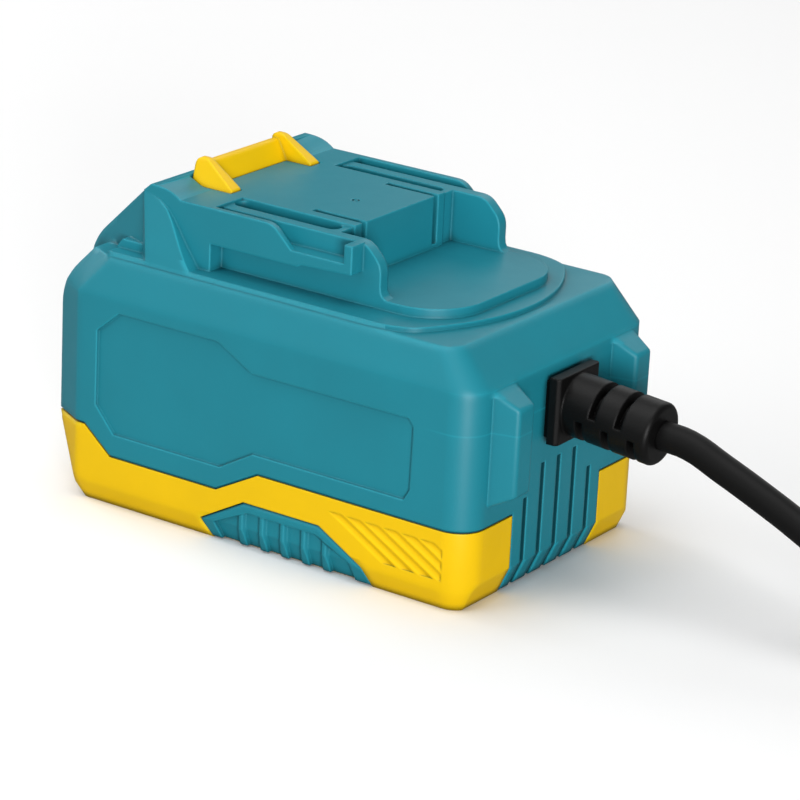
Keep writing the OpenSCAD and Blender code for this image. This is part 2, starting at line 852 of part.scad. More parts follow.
// Yellow lower shell
module lower_shell() {
    color(yellow)
        difference() {
            union() {
                difference() {
                    lower_form();
                    above_seam();
                    tray_hollow();
                }
                for (x = post_xs)
                    for (side = [-1, 1])
                        post(x, side * post_y, floor_t - bite, post_meet, post_r);
                for (x = board_holes_x)
                    for (side = [-1, 1])
                        post(x, side * board_hole_y, floor_t - bite, board_z, 3);
                post(spring_x, 0, floor_t - bite, spring_seat, 6);
                post(spring_x, 0, spring_seat - bite, spring_seat + 5, spring_r - spring_wire / 2 - 0.5);
            }
            tongue_space(0.15);
            for (side = [0, 1])
                mirror([0, side, 0]) {
                    grip_space();
                    hatch();
                    low_corner();
                }
            for (x = post_xs)
                for (side = [-1, 1]) {
                    post(x, side * post_y, -1, screw_seat, screw_head_r + 0.4);
                    post(x, side * post_y, 0, post_meet + 1, screw_r + 0.2);
                }
            for (x = board_holes_x)
                for (side = [-1, 1])
                    post(x, side * board_hole_y, floor_t, board_z + 1, board_screw_r + fit / 2);
        }
}

// Four screws that close the shells from below
module shell_screws() {
    color(steel)
        for (x = post_xs)
            for (side = [-1, 1])
                difference() {
                    union() {
                        post(x, side * post_y, screw_seat - 2.2, screw_seat, screw_head_r);
                        post(x, side * post_y, screw_seat - hair, post_meet + screw_bite - 1, screw_r);
                    }
                    for (turn = [0, 90])
                        translate([x, side * post_y, screw_seat - 2.2])
                            rotate([0, 0, turn])
                                cube([3, 0.8, 2], center = true);
                }
}

// Insulating plate under the deck that carries the contacts
module terminal_block() {
    color(black)
        difference() {
            box([pocket_back - 4, -blade_y - 5.5, roof_z - block_plate],
                [pocket_front + 4, blade_y + 5.5, roof_z]);
            for (side = [-1, 1])
                box([tab_x - tab_l / 2 - fit, side * blade_y - contact_t / 2 - fit, 0],
                    [tab_x + tab_l / 2 + fit, side * blade_y + contact_t / 2 + fit, far]);
        }
}

// Fork contact: two leaves on a web, with a tab that goes down through the plate
module contact(side) {
    leaf_gap = 1;
    y = side * blade_y;
    leaf_y = leaf_gap / 2 + contact_t;
    color(brass) {
        box([pocket_back + fit, y - leaf_y, roof_z], [pocket_front - fit, y + leaf_y, roof_z + contact_t]);
        for (s = [-1, 1])
            along_y([[pocket_back + fit, roof_z], [pocket_front - fit, roof_z],
                     [pocket_front - fit, pocket_top - 2], [pocket_front - 2, pocket_top - 0.5],
                     [pocket_back + 4, pocket_top - 0.5], [pocket_back + fit, pocket_top - 5]],
                    y + s * (leaf_gap + contact_t) / 2 - contact_t / 2,
                    y + s * (leaf_gap + contact_t) / 2 + contact_t / 2);
        box([tab_x - tab_l / 2, y - contact_t / 2, roof_z - block_plate - tab_down],
            [tab_x + tab_l / 2, y + contact_t / 2, roof_z + contact_t / 2]);
    }
}

module positive_contact() {
    contact(1);
}

module negative_contact() {
    contact(-1);
}

// Yellow latch: hook bar with two wedges, stem, arm and finger pad
module release_latch() {
    bar_top = latch_top - 1.4;
    bar_low = 3.2;
    inner = latch_half - wedge_w;
    bar = soft([[latch_back, arm_low, 0], [latch_back, bar_top, 1], [latch_back + 2, bar_top, 0.8],
                [latch_stem, top_z, 0], [latch_stem, top_z - 8, 0], [latch_back + bar_low, top_z - 12, 0],
                [latch_back + bar_low, arm_low, 0]]);
    wedge = soft([[latch_back, tip_under, 0], [latch_back, latch_top, 2], [latch_back + 3, latch_top, 0.9],
                  [latch_tip, top_z + 0.4, 0.4], [latch_tip, tip_under, 0]]);
    section = soft([[inner, tip_under - 1, 0], [latch_half, tip_under - 1, 0],
                    [latch_half, tip_under + 1, 0], [latch_half - wedge_lean, latch_top, 0.7],
                    [inner, latch_top, 0.7]]);
    pad_x = tail_x + 0.6;
    stem_half = latch_half - 2;
    ridge_pitch = 2.4;
    color(yellow) {
        along_y(bar, -stem_half, stem_half);
        for (side = [0, 1])
            mirror([0, side, 0])
                intersection() {
                    along_y(wedge, inner - 1, latch_half + 1);
                    along_x(section, latch_back - 1, latch_tip + 1);
                }
        box([pad_x + 1, -8, arm_low], [latch_back + bar_low, 8, arm_low + arm_h]);
        post(spring_x, 0, arm_low, arm_low + arm_h, 5.4);
        box([pad_x + 0.6, -pad_w / 2, pad_top - pad_h], [pad_x + 4, pad_w / 2, pad_top]);
        for (i = [0 : 3])
            translate([pad_x + 0.6, pad_w / 2 - 2, pad_top - 2.8 - i * ridge_pitch])
                rotate([90, 0, 0])
                    cylinder(h = pad_w - 4, r = 0.6, $fn = 24);
    }
}

// Unit vector
function unit(v) = v / norm(v);

// Direction of a path at point i
function heading(path, i) =
    unit(path[min(i + 1, len(path) - 1)] - path[max(i - 1, 0)]);

// Points of a ring of sides around a path's point, square to the path; the path never runs along ref
function ring(path, i, r, sides, ref) =
    let (t = heading(path, i), s = unit(cross(t, ref)), n = cross(s, t))
    [for (k = [0 : sides - 1]) path[i] + r * (cos(360 * k / sides) * s + sin(360 * k / sides) * n)];

// Round tube swept along a path
module tube(path, r, sides, ref = [0, 0, 1]) {
    rings = len(path);
    points = [for (i = [0 : rings - 1]) each ring(path, i, r, sides, ref)];
    last = (rings - 1) * sides;
    faces = concat(
        [for (i = [0 : rings - 2]) for (k = [0 : sides - 1])
            each let (a = i * sides + k, b = i * sides + (k + 1) % sides)
                [[a, a + sides, b + sides], [a, b + sides, b]]],
        [for (k = [1 : sides - 2]) [0, k, k + 1]],
        [for (k = [1 : sides - 2]) [last, last + k + 1, last + k]]);
    polyhedron(points = points, faces = faces, convexity = 12);
}

// Spring under the latch's arm
module latch_spring() {
    turns = 6;
    steps = 10;
    rise = arm_low - latch_gap - spring_seat - spring_wire;
    helix = [for (i = [0 : turns * steps])
                [spring_x + spring_r * cos(360 * i / steps), spring_r * sin(360 * i / steps),
                 spring_seat + spring_wire / 2 + rise * i / (turns * steps)]];
    color(steel)
        tube(helix, spring_wire / 2, 6);
}

// Circuit board on its four posts
module circuit_board() {
    color(green)
        difference() {
            box([board_x, -board_w / 2, board_z], [board_x + board_l, board_w / 2, board_top]);
            for (x = board_holes_x)
                for (side = [-1, 1])
                    post(x, side * board_hole_y, 0, far, board_screw_r + 0.3);
        }
}

// Four screws that hold the board
module board_screws() {
    color(steel)
        for (x = board_holes_x)
            for (side = [-1, 1]) {
                post(x, side * board_hole_y, board_top, board_top + 1.6, 2.2);
                post(x, side * board_hole_y, floor_t + 0.6, board_top + hair, board_screw_r);
            }
}

// Transformer core with two windows, and the winding on its middle leg
module transformer_core() {
    color("#3A3A3D")
        difference() {
            box([core_x, core_y - core_d / 2, board_top],
                [core_x + core_l, core_y + core_d / 2, board_top + core_h]);
            for (z = [4, core_h - 4 - window_h])
                box([core_x + (core_l - window_l) / 2, core_y - core_d, board_top + z],
                    [core_x + (core_l + window_l) / 2, core_y + core_d, board_top + z + window_h]);
        }
}

module transformer_winding() {
    leg_low = board_top + 4 + window_h;
    leg_high = board_top + core_h - 4 - window_h;
    x0 = core_x + (core_l - window_l) / 2 + 0.3;
    thick = window_h - 0.6;
    leg = [core_d + 2 * fit, leg_high - leg_low + 2 * fit];
    round_r = 3;
    color(copper)
        translate([x0, core_y, (leg_low + leg_high) / 2])
            rotate([90, 0, 90])
                linear_extrude(window_l - 0.6)
                    difference() {
                        union() {
                            square([core_d + 2 * thick - 2 * round_r, leg[1] + 2 * thick], center = true);
                            square([core_d + 2 * thick, leg[1] + 2 * thick - 2 * round_r], center = true);
                            for (sy = [-1, 1])
                                for (sz = [-1, 1])
                                    translate([sy * (core_d / 2 + thick - round_r),
                                               sz * (leg[1] / 2 + thick - round_r)])
                                        circle(round_r);
                        }
                        square(leg, center = true);
                    }
}

// Upright round capacitor with its rolled rim
module can(x, y, r, h) {
    translate([x, y, board_top])
        difference() {
            cylinder(h = h, r = r);
            translate([0, 0, 1.6])
                rotate_extrude()
                    translate([r + 0.3, 0])
                        circle(0.8, $fn = 24);
            translate([0, 0, h - 0.4])
                cylinder(h = 1, r = r - 1.2);
        }
}

module bulk_capacitor() {
    color("#26282C")
        can(board_x + bulk_in, -bulk_side, bulk_r, bulk_h);
}

module output_capacitors() {
    color("#2B3F6B")
        for (i = [0, 1])
            can(board_x + out_can_in, i * out_can_pitch - out_can_side, out_can_r, out_can_h);
}

module x_capacitor() {
    color("#D9B73A")
        box([board_x + 53.5, -5, board_top], [board_x + 61.5, 13, board_top + 14]);
}

module filter_choke() {
    color(copper)
        translate([board_x + 59, -16, board_top + 4])
            rotate_extrude()
                translate([5.9, 0])
                    square([5, 8], center = true);
}

module bridge_rectifier() {
    color("#222326")
        box([board_x + 58.5, 15, board_top], [board_x + 62.5, 24, board_top + 14]);
}

module input_fuse() {
    x = board_x + 65.4;
    z = board_top + 3.2;
    color("#E8E4D8")
        translate([x, -4, z])
            rotate([-90, 0, 0])
                cylinder(h = 20, r = 2.5);
    color(steel)
        for (y = [-2.5, 11.5])
            box([x - 1.5, y, board_top], [x + 1.5, y + 3, z]);
}

// Finned heatsink with its base plate towards the transformer
module heatsink() {
    fins = 8;
    pitch = (sink_x1 - sink_x0 - fin_t) / (fins - 1);
    color("#8F959B") {
        box([sink_x0, sink_y, board_top], [sink_x1, sink_y + sink_t, board_top + sink_h]);
        for (i = [0 : fins - 1])
            box([sink_x0 + i * pitch, sink_y + sink_t - 1, board_top + 4],
                [sink_x0 + i * pitch + fin_t, sink_y + sink_t + fin_l, board_top + sink_h]);
    }
}

// Power transistor bolted to the heatsink's base plate
module power_device(x) {
    low = board_top + device_lift;
    color("#2A2B2E") {
        box([x - device_w / 2, sink_y - device_d, low], [x + device_w / 2, sink_y, low + device_h]);
        box([x - device_w / 2, sink_y - tab_t, low + device_h - 1],
            [x + device_w / 2, sink_y, low + device_h + tab_h]);
        for (i = [-1 : 1])
            box([x + i * 2.54 - 0.4, sink_y - 2.8, board_top],
                [x + i * 2.54 + 0.4, sink_y - 2.2, low + 1]);
    }
}

module switching_transistor() {
    power_device(sink_x0 + 6);
}

module output_diode() {
    power_device(sink_x1 - 6);
}

// Lead from the strain relief's inner face down to the board, ending at board_y
module mains_lead(side, board_y) {
    y = side * 2.2;
    x = board_x + board_l - 2.5;
    drop = gland_z - board_top;
    tube([[gland_inner, y, gland_z], [gland_inner - 3, y, gland_z - 0.3],
          [gland_inner - 6, y + 0.1 * (board_y - y), gland_z - 3.4],
          [gland_inner - 8.2, y + 0.4 * (board_y - y), gland_z - 0.4 * drop],
          [gland_inner - 10, y + 0.8 * (board_y - y), gland_z - 0.7 * drop],
          [x + 0.2, board_y, board_top + 4], [x, board_y, board_top]], lead_r, 8, [0, 1, 0]);
}

module live_lead() {
    color("#6B3A22")
        mains_lead(-1, -6);
}

module neutral_lead() {
    color("#2C55A5")
        mains_lead(1, 20);
}

// Lead from the board up to a contact's tab
module output_lead(side) {
    low = roof_z - block_plate - tab_down;
    x = board_x + 3;
    tube([[x, side * 10, board_top], [x, side * 10, board_top + 6], [x + 1, side * 10.4, board_top + 18],
          [x + 6, side * 11.4, low - 9], [x + 15, side * 13.4, low - 2],
          [tab_x - tab_l / 2 - 3, side * blade_y, low + 1.5],
          [tab_x - tab_l / 2, side * blade_y, low + 1.5]], lead_r, 8, [0, 1, 0]);
}

module positive_lead() {
    color("#B3261E")
        output_lead(1);
}

module negative_lead() {
    color("#202225")
        output_lead(-1);
}

// Half of a bend slot: a ring cut round the sleeve's core, above or below its middle
module bend_slot(x, above) {
    slot_w = 1.9;
    core = cord_r + 1.4;
    bridge = 1.6;
    translate([x, 0, 0])
        rotate([0, 90, 0])
            linear_extrude(slot_w)
                difference() {
                    translate([above ? -sleeve_d : bridge / 2, -sleeve_d])
                        square([sleeve_d - bridge / 2, 2 * sleeve_d]);
                    circle(core);
                }
}

// Half outline of the sleeve's thick part, with its round end
module sleeve_profile(from, r, end_r) {
    translate([0, from])
        square([r, sleeve_l - end_r - from]);
    translate([0, from])
        square([r - end_r, sleeve_l - from]);
    translate([r - end_r, sleeve_l - end_r])
        circle(end_r);
}

// Strain relief: flange outside the wall, neck through it, lock inside, and the slotted sleeve
module strain_relief() {
    slot_pitch = 6.9;
    first_upper = 7;
    first_lower = 3.8;
    plate_t = 2.7;
    base_in = 1.2;
    end_r = 1.3;
    outer_r = sleeve_d / 2;
    color(black)
        union() {
            difference() {
                box([flange_x - plate_t, -flange_w / 2, gland_z - flange_h / 2],
                    [flange_x, flange_w / 2, gland_z + flange_h / 2]);
                for (s = [-1, 1])
                    translate([flange_x, s * flange_w / 2, gland_z])
                        rotate([0, 0, 45])
                            cube([1, 1, far], center = true);
            }
            box([end_x, base_in - flange_w / 2, gland_z - flange_h / 2 + base_in],
                [flange_x - bite, flange_w / 2 - base_in, gland_z + flange_h / 2 - base_in]);
            translate([gland_inner + 2.4 - hair, 0, gland_z])
                rotate([0, 90, 0])
                    cylinder(h = wall + bite, r = gland_neck);
            translate([gland_inner, 0, gland_z])
                rotate([0, 90, 0])
                    cylinder(h = 2.4, r = gland_lock);
            translate([flange_x, 0, gland_z])
                rotate([0, sleeve_tilt, 0])
                    difference() {
                        rotate([0, 90, 0])
                            rotate_extrude()
                                sleeve_profile(-bite - 0.7, outer_r, end_r);
                        for (i = [0, 1])
                            bend_slot(first_upper + i * slot_pitch, true);
                        for (i = [0 : 2])
                            bend_slot(first_lower + i * slot_pitch, false);
                    }
        }
}

// Cord from the sleeve down to the table
module cord_run() {
    color(black)
        tube(run_path, cord_r, 12);
}

// Rest of the cord, coiled in four layers
module cord_coil() {
    color(black)
        tube(coil_path, cord_r, 6);
}

// Cord from the coil to the plug
module cord_tail() {
    color(black)
        tube(tail_path, cord_r, 12);
}

// Outline of a rectangle with rounded corners, between two corners
module rounded(low, high, r) {
    translate(low + [0, r])
        square(high - low - [0, 2 * r]);
    translate(low + [r, 0])
        square(high - low - [2 * r, 0]);
    for (x = [low[0] + r, high[0] - r])
        for (y = [low[1] + r, high[1] - r])
            translate([x, y])
                circle(r);
}

// Band round the coil's loops, drawn in the plane of a radius and the height
module coil_tie() {
    turn_share = (tie_turn + 90 + coil_lean) / 360;
    radii = [for (i = [0 : coil_turns - 1]) coil_radius(i + turn_share)];
    low = [min(radii) - cord_r - 0.5, tie_t];
    high = [max(radii) + cord_r + 0.3, coil_end[2] + cord_r + 0.2];
    r = 3;
    color(black)
        translate([coil_mid[0], coil_mid[1], 0])
            rotate([90, 0, tie_turn])
                translate([0, 0, -tie_w / 2])
                    linear_extrude(tie_w)
                        difference() {
                            rounded(low - [tie_t, tie_t], high + [tie_t, tie_t], r + tie_t);
                            rounded(low, high, r);
                        }
}

// Moulded plug: ringed neck and a flat body that widens to the pin face
module plug_body() {
    neck_l = 10;
    neck_r = 5.4;
    half = plug_w / 2;
    low = plug_t / 2;
    edge = 3;
    from_above = [[neck_l, -neck_r - 1.5], [neck_l + 8, -half + 2], [neck_l + 12, -half], [plug_l, -half],
                  [plug_l, half], [neck_l + 12, half], [neck_l + 8, half - 2], [neck_l, neck_r + 1.5]];
    from_face = [[-half, edge - low], [edge - half, -low], [half - edge, -low], [half, edge - low],
                 [half, low - edge], [half - edge, low], [edge - half, low], [-half, low - edge]];
    color(black)
        translate(plug_at)
            rotate([0, 0, 90])
                difference() {
                    union() {
                        intersection() {
                            translate([0, 0, -plug_t])
                                linear_extrude(2 * plug_t)
                                    polygon(from_above);
                            along_x(from_face, 0, plug_l);
                        }
                        rotate([0, 90, 0])
                            cylinder(h = neck_l + bite, r = neck_r);
                    }
                    for (i = [0 : 2])
                        translate([2 + i * 2.8, 0, 0])
                            rotate([0, 90, 0])
                                difference() {
                                    cylinder(h = 1.2, r = neck_r + 1);
                                    cylinder(h = 4, r = neck_r - 0.9, center = true);
                                }
                    for (side = [-1, 1])
                        translate([plug_l - pin_in, side * pin_gap / 2, 0])
                            rotate([0, 90, 0])
                                cylinder(h = pin_in + 1, r = pin_r - pin_step + fit / 2);
                }
}

// Two round pins of the plug
module plug_pins() {
    tip = 0.6;
    color(steel)
        for (side = [-1, 1])
            translate(plug_at + [side * pin_gap / 2, plug_l - pin_in, 0])
                rotate([-90, 0, 0]) {
                    cylinder(h = pin_in + bite, r = pin_r - pin_step);
                    translate([0, 0, pin_in])
                        cylinder(h = pin_l - tip, r = pin_r);
                    translate([0, 0, pin_in + pin_l - tip])
                        cylinder(h = tip, r1 = pin_r, r2 = pin_r - tip);
                }
}

upper_shell();
lower_shell();
grip_left();
grip_right();
shell_screws();
terminal_block();
positive_contact();
negative_contact();
release_latch();
latch_spring();
circuit_board();
board_screws();
transformer_core();
transformer_winding();
bulk_capacitor();
output_capacitors();
x_capacitor();
filter_choke();
bridge_rectifier();
input_fuse();
heatsink();
switching_transistor();
output_diode();
live_lead();
neutral_lead();
positive_lead();
negative_lead();
strain_relief();
cord_run();
cord_coil();
cord_tail();
coil_tie();
plug_body();
plug_pins();
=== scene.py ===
"""Looks of the mains adapter: its finishes, its cord, the table, the light and the camera.

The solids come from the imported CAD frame. This script dresses them, lays the soft cord over its stand-in
solids, winds the latch's spring, and shows the moulded pieces as copies of their solids with rounded edges.
"""

from __future__ import annotations

import json
import logging
import math
from abc import ABC, abstractmethod
from dataclasses import dataclass
from enum import Enum
from typing import Any, Callable, Mapping, Union

import bmesh
import bpy
from mathutils import Matrix, Vector

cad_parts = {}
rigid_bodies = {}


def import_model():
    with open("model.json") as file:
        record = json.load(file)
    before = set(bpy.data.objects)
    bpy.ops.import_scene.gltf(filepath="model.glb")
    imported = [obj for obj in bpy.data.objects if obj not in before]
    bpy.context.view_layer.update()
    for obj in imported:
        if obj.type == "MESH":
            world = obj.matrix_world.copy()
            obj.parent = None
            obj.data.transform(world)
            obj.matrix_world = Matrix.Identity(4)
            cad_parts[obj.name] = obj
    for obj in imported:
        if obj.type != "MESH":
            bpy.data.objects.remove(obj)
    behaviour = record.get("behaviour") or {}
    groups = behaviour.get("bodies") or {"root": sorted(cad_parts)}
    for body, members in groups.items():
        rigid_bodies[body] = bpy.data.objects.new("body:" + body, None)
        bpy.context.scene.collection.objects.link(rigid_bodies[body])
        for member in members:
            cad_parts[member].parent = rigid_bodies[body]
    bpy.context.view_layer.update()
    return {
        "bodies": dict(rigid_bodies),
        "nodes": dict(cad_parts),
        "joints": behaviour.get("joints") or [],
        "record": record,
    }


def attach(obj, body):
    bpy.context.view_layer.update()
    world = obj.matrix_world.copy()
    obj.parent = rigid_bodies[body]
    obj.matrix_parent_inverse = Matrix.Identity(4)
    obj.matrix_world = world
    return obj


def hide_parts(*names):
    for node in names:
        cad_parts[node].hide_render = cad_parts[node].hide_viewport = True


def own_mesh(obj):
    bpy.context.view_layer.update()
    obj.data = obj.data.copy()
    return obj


LOG = logging.getLogger("adapter")
PICTURE_PX = 800
SENSOR_MM = 36.0
MM = 0.001
ADAPTER_BODY = "adapter"
RAY_SAMPLES = 6
WAVE_PERIOD = math.pi / 10
UNIT = (0.0, 1.0)

Colour = tuple[float, float, float]
Point = tuple[float, float, float]
Range = tuple[float, float]
Feed = Union[float, tuple, bpy.types.NodeSocket]
Feeds = Mapping[Union[str, int], Feed]
Test = Callable[[Vector], bool]


class Slot(str, Enum):
    """Material slots of the record, which new pieces keep as a field; their finish is handed to them when
    they are built.
    """

    CORD = "black_pvc"
    HOUSING = "teal_plastic"
    TRAY = "yellow_plastic"
    SPRING = "steel"


class Axis(Enum):
    """Direction in the part's own frame."""

    X = (1.0, 0.0, 0.0)
    Y = (0.0, 1.0, 0.0)
    Z = (0.0, 0.0, 1.0)


def srgb(red: int, green: int, blue: int) -> Colour:
    """Turn an eight-bit screen colour into the linear colour that shaders take.

    Args:
        red: Red from 0 to 255.
        green: Green from 0 to 255.
        blue: Blue from 0 to 255.

    Returns:
        The linear colour.
    """

    def channel(value: int) -> float:
        """Linear value of one channel."""
        part = value / 255
        return part / 12.92 if part <= 0.04045 else ((part + 0.055) / 1.055) ** 2.4

    return channel(red), channel(green), channel(blue)


def shade(colour: Colour, factor: float) -> tuple[float, float, float, float]:
    """Make a colour lighter or darker.

    Args:
        colour: Linear colour.
        factor: What each channel is multiplied by.

    Returns:
        The colour with an alpha of one, kept within range.
    """
    return (*(min(1.0, part * factor) for part in colour), 1.0)


def ease(share: float) -> float:
    """Smooth step from nothing to all."""
    return share * share * (3 - 2 * share)


def settle(shape: bmesh.types.BMesh, name: str, finish: bpy.types.Material) -> bpy.types.Object:
    """Turn a finished shape into an object of the scene.

    Args:
        shape: The shape in metres, which is used up.
        name: Name of the object and its mesh.
        finish: Its material.

    Returns:
        The object.
    """
    mesh = bpy.data.meshes.new(name)
    shape.to_mesh(mesh)
    shape.free()
    mesh.materials.append(finish)
    made = bpy.data.objects.new(name, mesh)
    bpy.context.collection.objects.link(made)
    return made


# Camera


@dataclass(frozen=True)
class PhotoCamera:
    """Camera at the photograph's viewpoint, as fitted to the object's edges."""

    azimuth: float = 34.3695
    elevation: float = 19.5054
    roll: float = 2.6962
    focal_px: float = 3602.16
    distance: float = 0.85562
    look: Point = (0.0024, 0.0, 0.035)
    centre_px: tuple[float, float] = (-34.579, -24.713)
    clip: Range = (0.05, 20.0)

    def build(self) -> bpy.types.Object:
        """Make the camera and set it as the scene's own.

        Returns:
            The camera object.
        """
        turn, lift, lean = (math.radians(a) for a in (self.azimuth, self.elevation, self.roll))
        back = Vector((math.sin(turn) * math.cos(lift), -math.cos(turn) * math.cos(lift), math.sin(lift)))
        right = Vector((0, 0, 1)).cross(back).normalized()
        up = back.cross(right)
        side = right * math.cos(lean) + up * math.sin(lean)
        top = up * math.cos(lean) - right * math.sin(lean)
        data = bpy.data.cameras.new("photo_camera")
        data.sensor_width = SENSOR_MM
        data.lens = self.focal_px * SENSOR_MM / PICTURE_PX
        data.shift_x = -self.centre_px[0] / PICTURE_PX
        data.shift_y = self.centre_px[1] / PICTURE_PX
        data.clip_start, data.clip_end = self.clip
        camera = bpy.data.objects.new("photo_camera", data)
        turned = Matrix((side, top, back)).transposed().to_4x4()
        camera.matrix_world = Matrix.Translation(Vector(self.look) + back * self.distance) @ turned
        bpy.context.collection.objects.link(camera)
        bpy.context.scene.camera = camera
        return camera


# Cord and spring


@dataclass(frozen=True)
class MainsCord:
    """Free mains cord: out of the sleeve, down to the table, into a tied coil and on to its plug.

    Its points repeat the route of the part's source, here in millimetres.
    """

    diameter: float = 7.0
    length: float = 1.98
    sleeve_end: Point = (84.114, 0, 40.33)
    sleeve_tilt: float = 5.0
    run: tuple[Point, ...] = (
        (15.9, 0, 36.4), (25.9, 0, 32.4), (35.9, 0, 28), (45.9, -0.6, 23.2),
        (55.9, -2.4, 18), (64.9, -5.6, 12.9), (72.9, -9.4, 8.6), (79.9, -13.2, 5.4),
    )
    coil_start: Point = (91.9, -20, 4.2)
    coil_lean: float = 30.0
    coil_turns: int = 8
    layer_turns: int = 2
    points_per_turn: int = 24
    coil_inner: float = 28.0
    coil_step: float = 7.5
    climb_turns: float = 0.5
    tail: tuple[Point, ...] = (
        (10.9, -4.6, 0.9), (17.9, -4.9, 2.9), (25.9, -3.4, 5.3), (33.3, -0.4, 7.2), (39.2, 4.1, 8.2),
        (43.7, 10, 9), (46.4, 16.9, 9.8), (47.5, 24, 10.4), (47.7, 30, 10.6), (47.7, 35, 10.6),
    )
    curve_steps: int = 4
    round_steps: int = 6
    carried: tuple[str, ...] = ("strain_relief", "coil_tie", "plug_body", "plug_pins")

    def climbed(self, turns: float) -> float:
        """Share of the climb to a new layer that is done, some turns past the climb's middle."""
        return min(1, max(0, turns / self.climb_turns + 0.5))

    def coil(self, start: Vector, along: Vector) -> list[Vector]:
        """Points of the coil, which winds in and out by turns, a layer higher each time.

        Args:
            start: Where the coil begins on the table.
            along: Direction of the cord there.

        Returns:
            The points in millimetres.
        """
        lean = math.radians(self.coil_lean)
        outer = self.coil_inner + self.coil_step * self.layer_turns
        middle = start + along * self.diameter + outer * Vector((math.sin(lean), math.cos(lean), 0))
        new_layers = range(self.layer_turns, self.coil_turns, self.layer_turns)
        points = []
        for step in range(self.coil_turns * self.points_per_turn + 1):
            turn = step / self.points_per_turn
            radius = self.coil_inner + self.coil_step * abs(turn % (2 * self.layer_turns) - self.layer_turns)
            height = self.coil_step * sum(self.climbed(turn - begun) for begun in new_layers)
            angle = lean - 2 * math.pi * turn
            points.append(middle + Vector((-radius * math.sin(angle), -radius * math.cos(angle), height)))
        return points

    def route(self) -> list[Vector]:
        """Every point of the cord from the sleeve to the plug.

        Returns:
            The points in millimetres.
        """
        leave = Vector(self.sleeve_end)
        tilt, lean = math.radians(self.sleeve_tilt), math.radians(self.coil_lean)
        out = Vector((math.cos(tilt), 0, -math.sin(tilt)))
        along = Vector((math.cos(lean), -math.sin(lean), 0))
        under = Vector((leave.x, 0, 0))
        start = Vector(self.coil_start) + under
        loops = self.coil(start, along)
        end = loops[-1] + along * self.diameter
        down = [leave, leave + out * self.diameter, *(Vector(place) + under for place in self.run)]
        across = [start - along * self.diameter, start]
        away = [end, end + along * self.diameter, *(end + Vector(place) for place in self.tail)]
        return [*down, *across, *loops, *away]

    def build(self, frame: dict, finish: bpy.types.Material) -> bpy.types.Object:
        """Args:
            finish: Material of the cord's jacket.

        Returns:
            The cord's curve object.
        """
        route = self.route()
        data = bpy.data.curves.new("mains_cord", "CURVE")
        data.dimensions = "3D"
        data.resolution_u = self.curve_steps
        data.bevel_depth = self.diameter / 2 * MM
        data.bevel_resolution = self.round_steps
        data.use_fill_caps = True
        spline = data.splines.new("BEZIER")
        spline.bezier_points.add(len(route) - 1)
        for knot, place in zip(spline.bezier_points, route):
            knot.co = place * MM
            knot.handle_left_type = knot.handle_right_type = "AUTO"
        data.materials.append(finish)
        cord = bpy.data.objects.new("mains_cord", data)
        bpy.context.collection.objects.link(cord)
        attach(cord, ADAPTER_BODY)
        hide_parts("cord_run", "cord_coil", "cord_tail")
        LOG.info("%s laid through %d points", cord.name, len(route))
        return cord


@dataclass(frozen=True)
class LatchSpring:
    """Coil spring under the latch. The real spring shortens as the latch is pressed; this one is wound at its
    free height only.

    Its closed ends take up a few wires of its height. Lengths are in millimetres.
    """

    middle: Point = (-35.5, 0.0, 30.0)
    height: float = 13.7
    pressed: float = 6.6
    radius: float = 4.0
    wire: float = 0.9
    closed_wires: int = 3
    turns: int = 6
    points_per_turn: int = 24
    wire_sides: int = 10
    joint: str = "latch_slide"

    def path(self) -> list[Vector]:
        """Points along the wire.

        Returns:
            The points in millimetres.
        """
        middle = Vector(self.middle)
        low, rise = self.wire / 2, self.height - self.closed_wires * self.wire
        points = []
        for step in range(self.turns * self.points_per_turn + 1):
            turn = step / self.points_per_turn
            closed = min(turn, 1.0) + max(0.0, turn - self.turns + 1)
            spread = min(1.0, max(0.0, (turn - 1) / (self.turns - 2)))
            angle = 2 * math.pi * turn
            x, y = self.radius * math.cos(angle), self.radius * math.sin(angle)
            points.append(middle + Vector((x, y, low + self.wire * closed + rise * spread)))
        return points

    def build(self, finish: bpy.types.Material) -> bpy.types.Object:
        """Sweep the wire along its path.

        Args:
            finish: Material of the wire.

        Returns:
            The spring object.
        """
        path = self.path()
        shape = bmesh.new()
        before: list[bmesh.types.BMEdge] = []
        for number, place in enumerate(path):
            along = path[min(number + 1, len(path) - 1)] - path[max(number - 1, 0)]
            turned = along.to_track_quat("Z", "Y").to_matrix().to_4x4()
            ring = bmesh.ops.create_circle(
                shape, cap_ends=number in (0, len(path) - 1), segments=self.wire_sides,
                radius=self.wire / 2 * MM, matrix=Matrix.Translation(place * MM) @ turned)
            edges = list(dict.fromkeys(edge for vert in ring["verts"] for edge in vert.link_edges))
            if before:
                bmesh.ops.bridge_loops(shape, edges=before + edges)
            before = edges
        bmesh.ops.recalc_face_normals(shape, faces=shape.faces)
        for face in shape.faces:
            face.smooth = len(face.verts) == 4
        spring = settle(shape, "spring", finish)
        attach(spring, ADAPTER_BODY)
        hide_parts("latch_spring")
        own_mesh(spring)
        LOG.info("%s wound through %d points", spring.name, len(path))
        return spring


# Moulded pieces


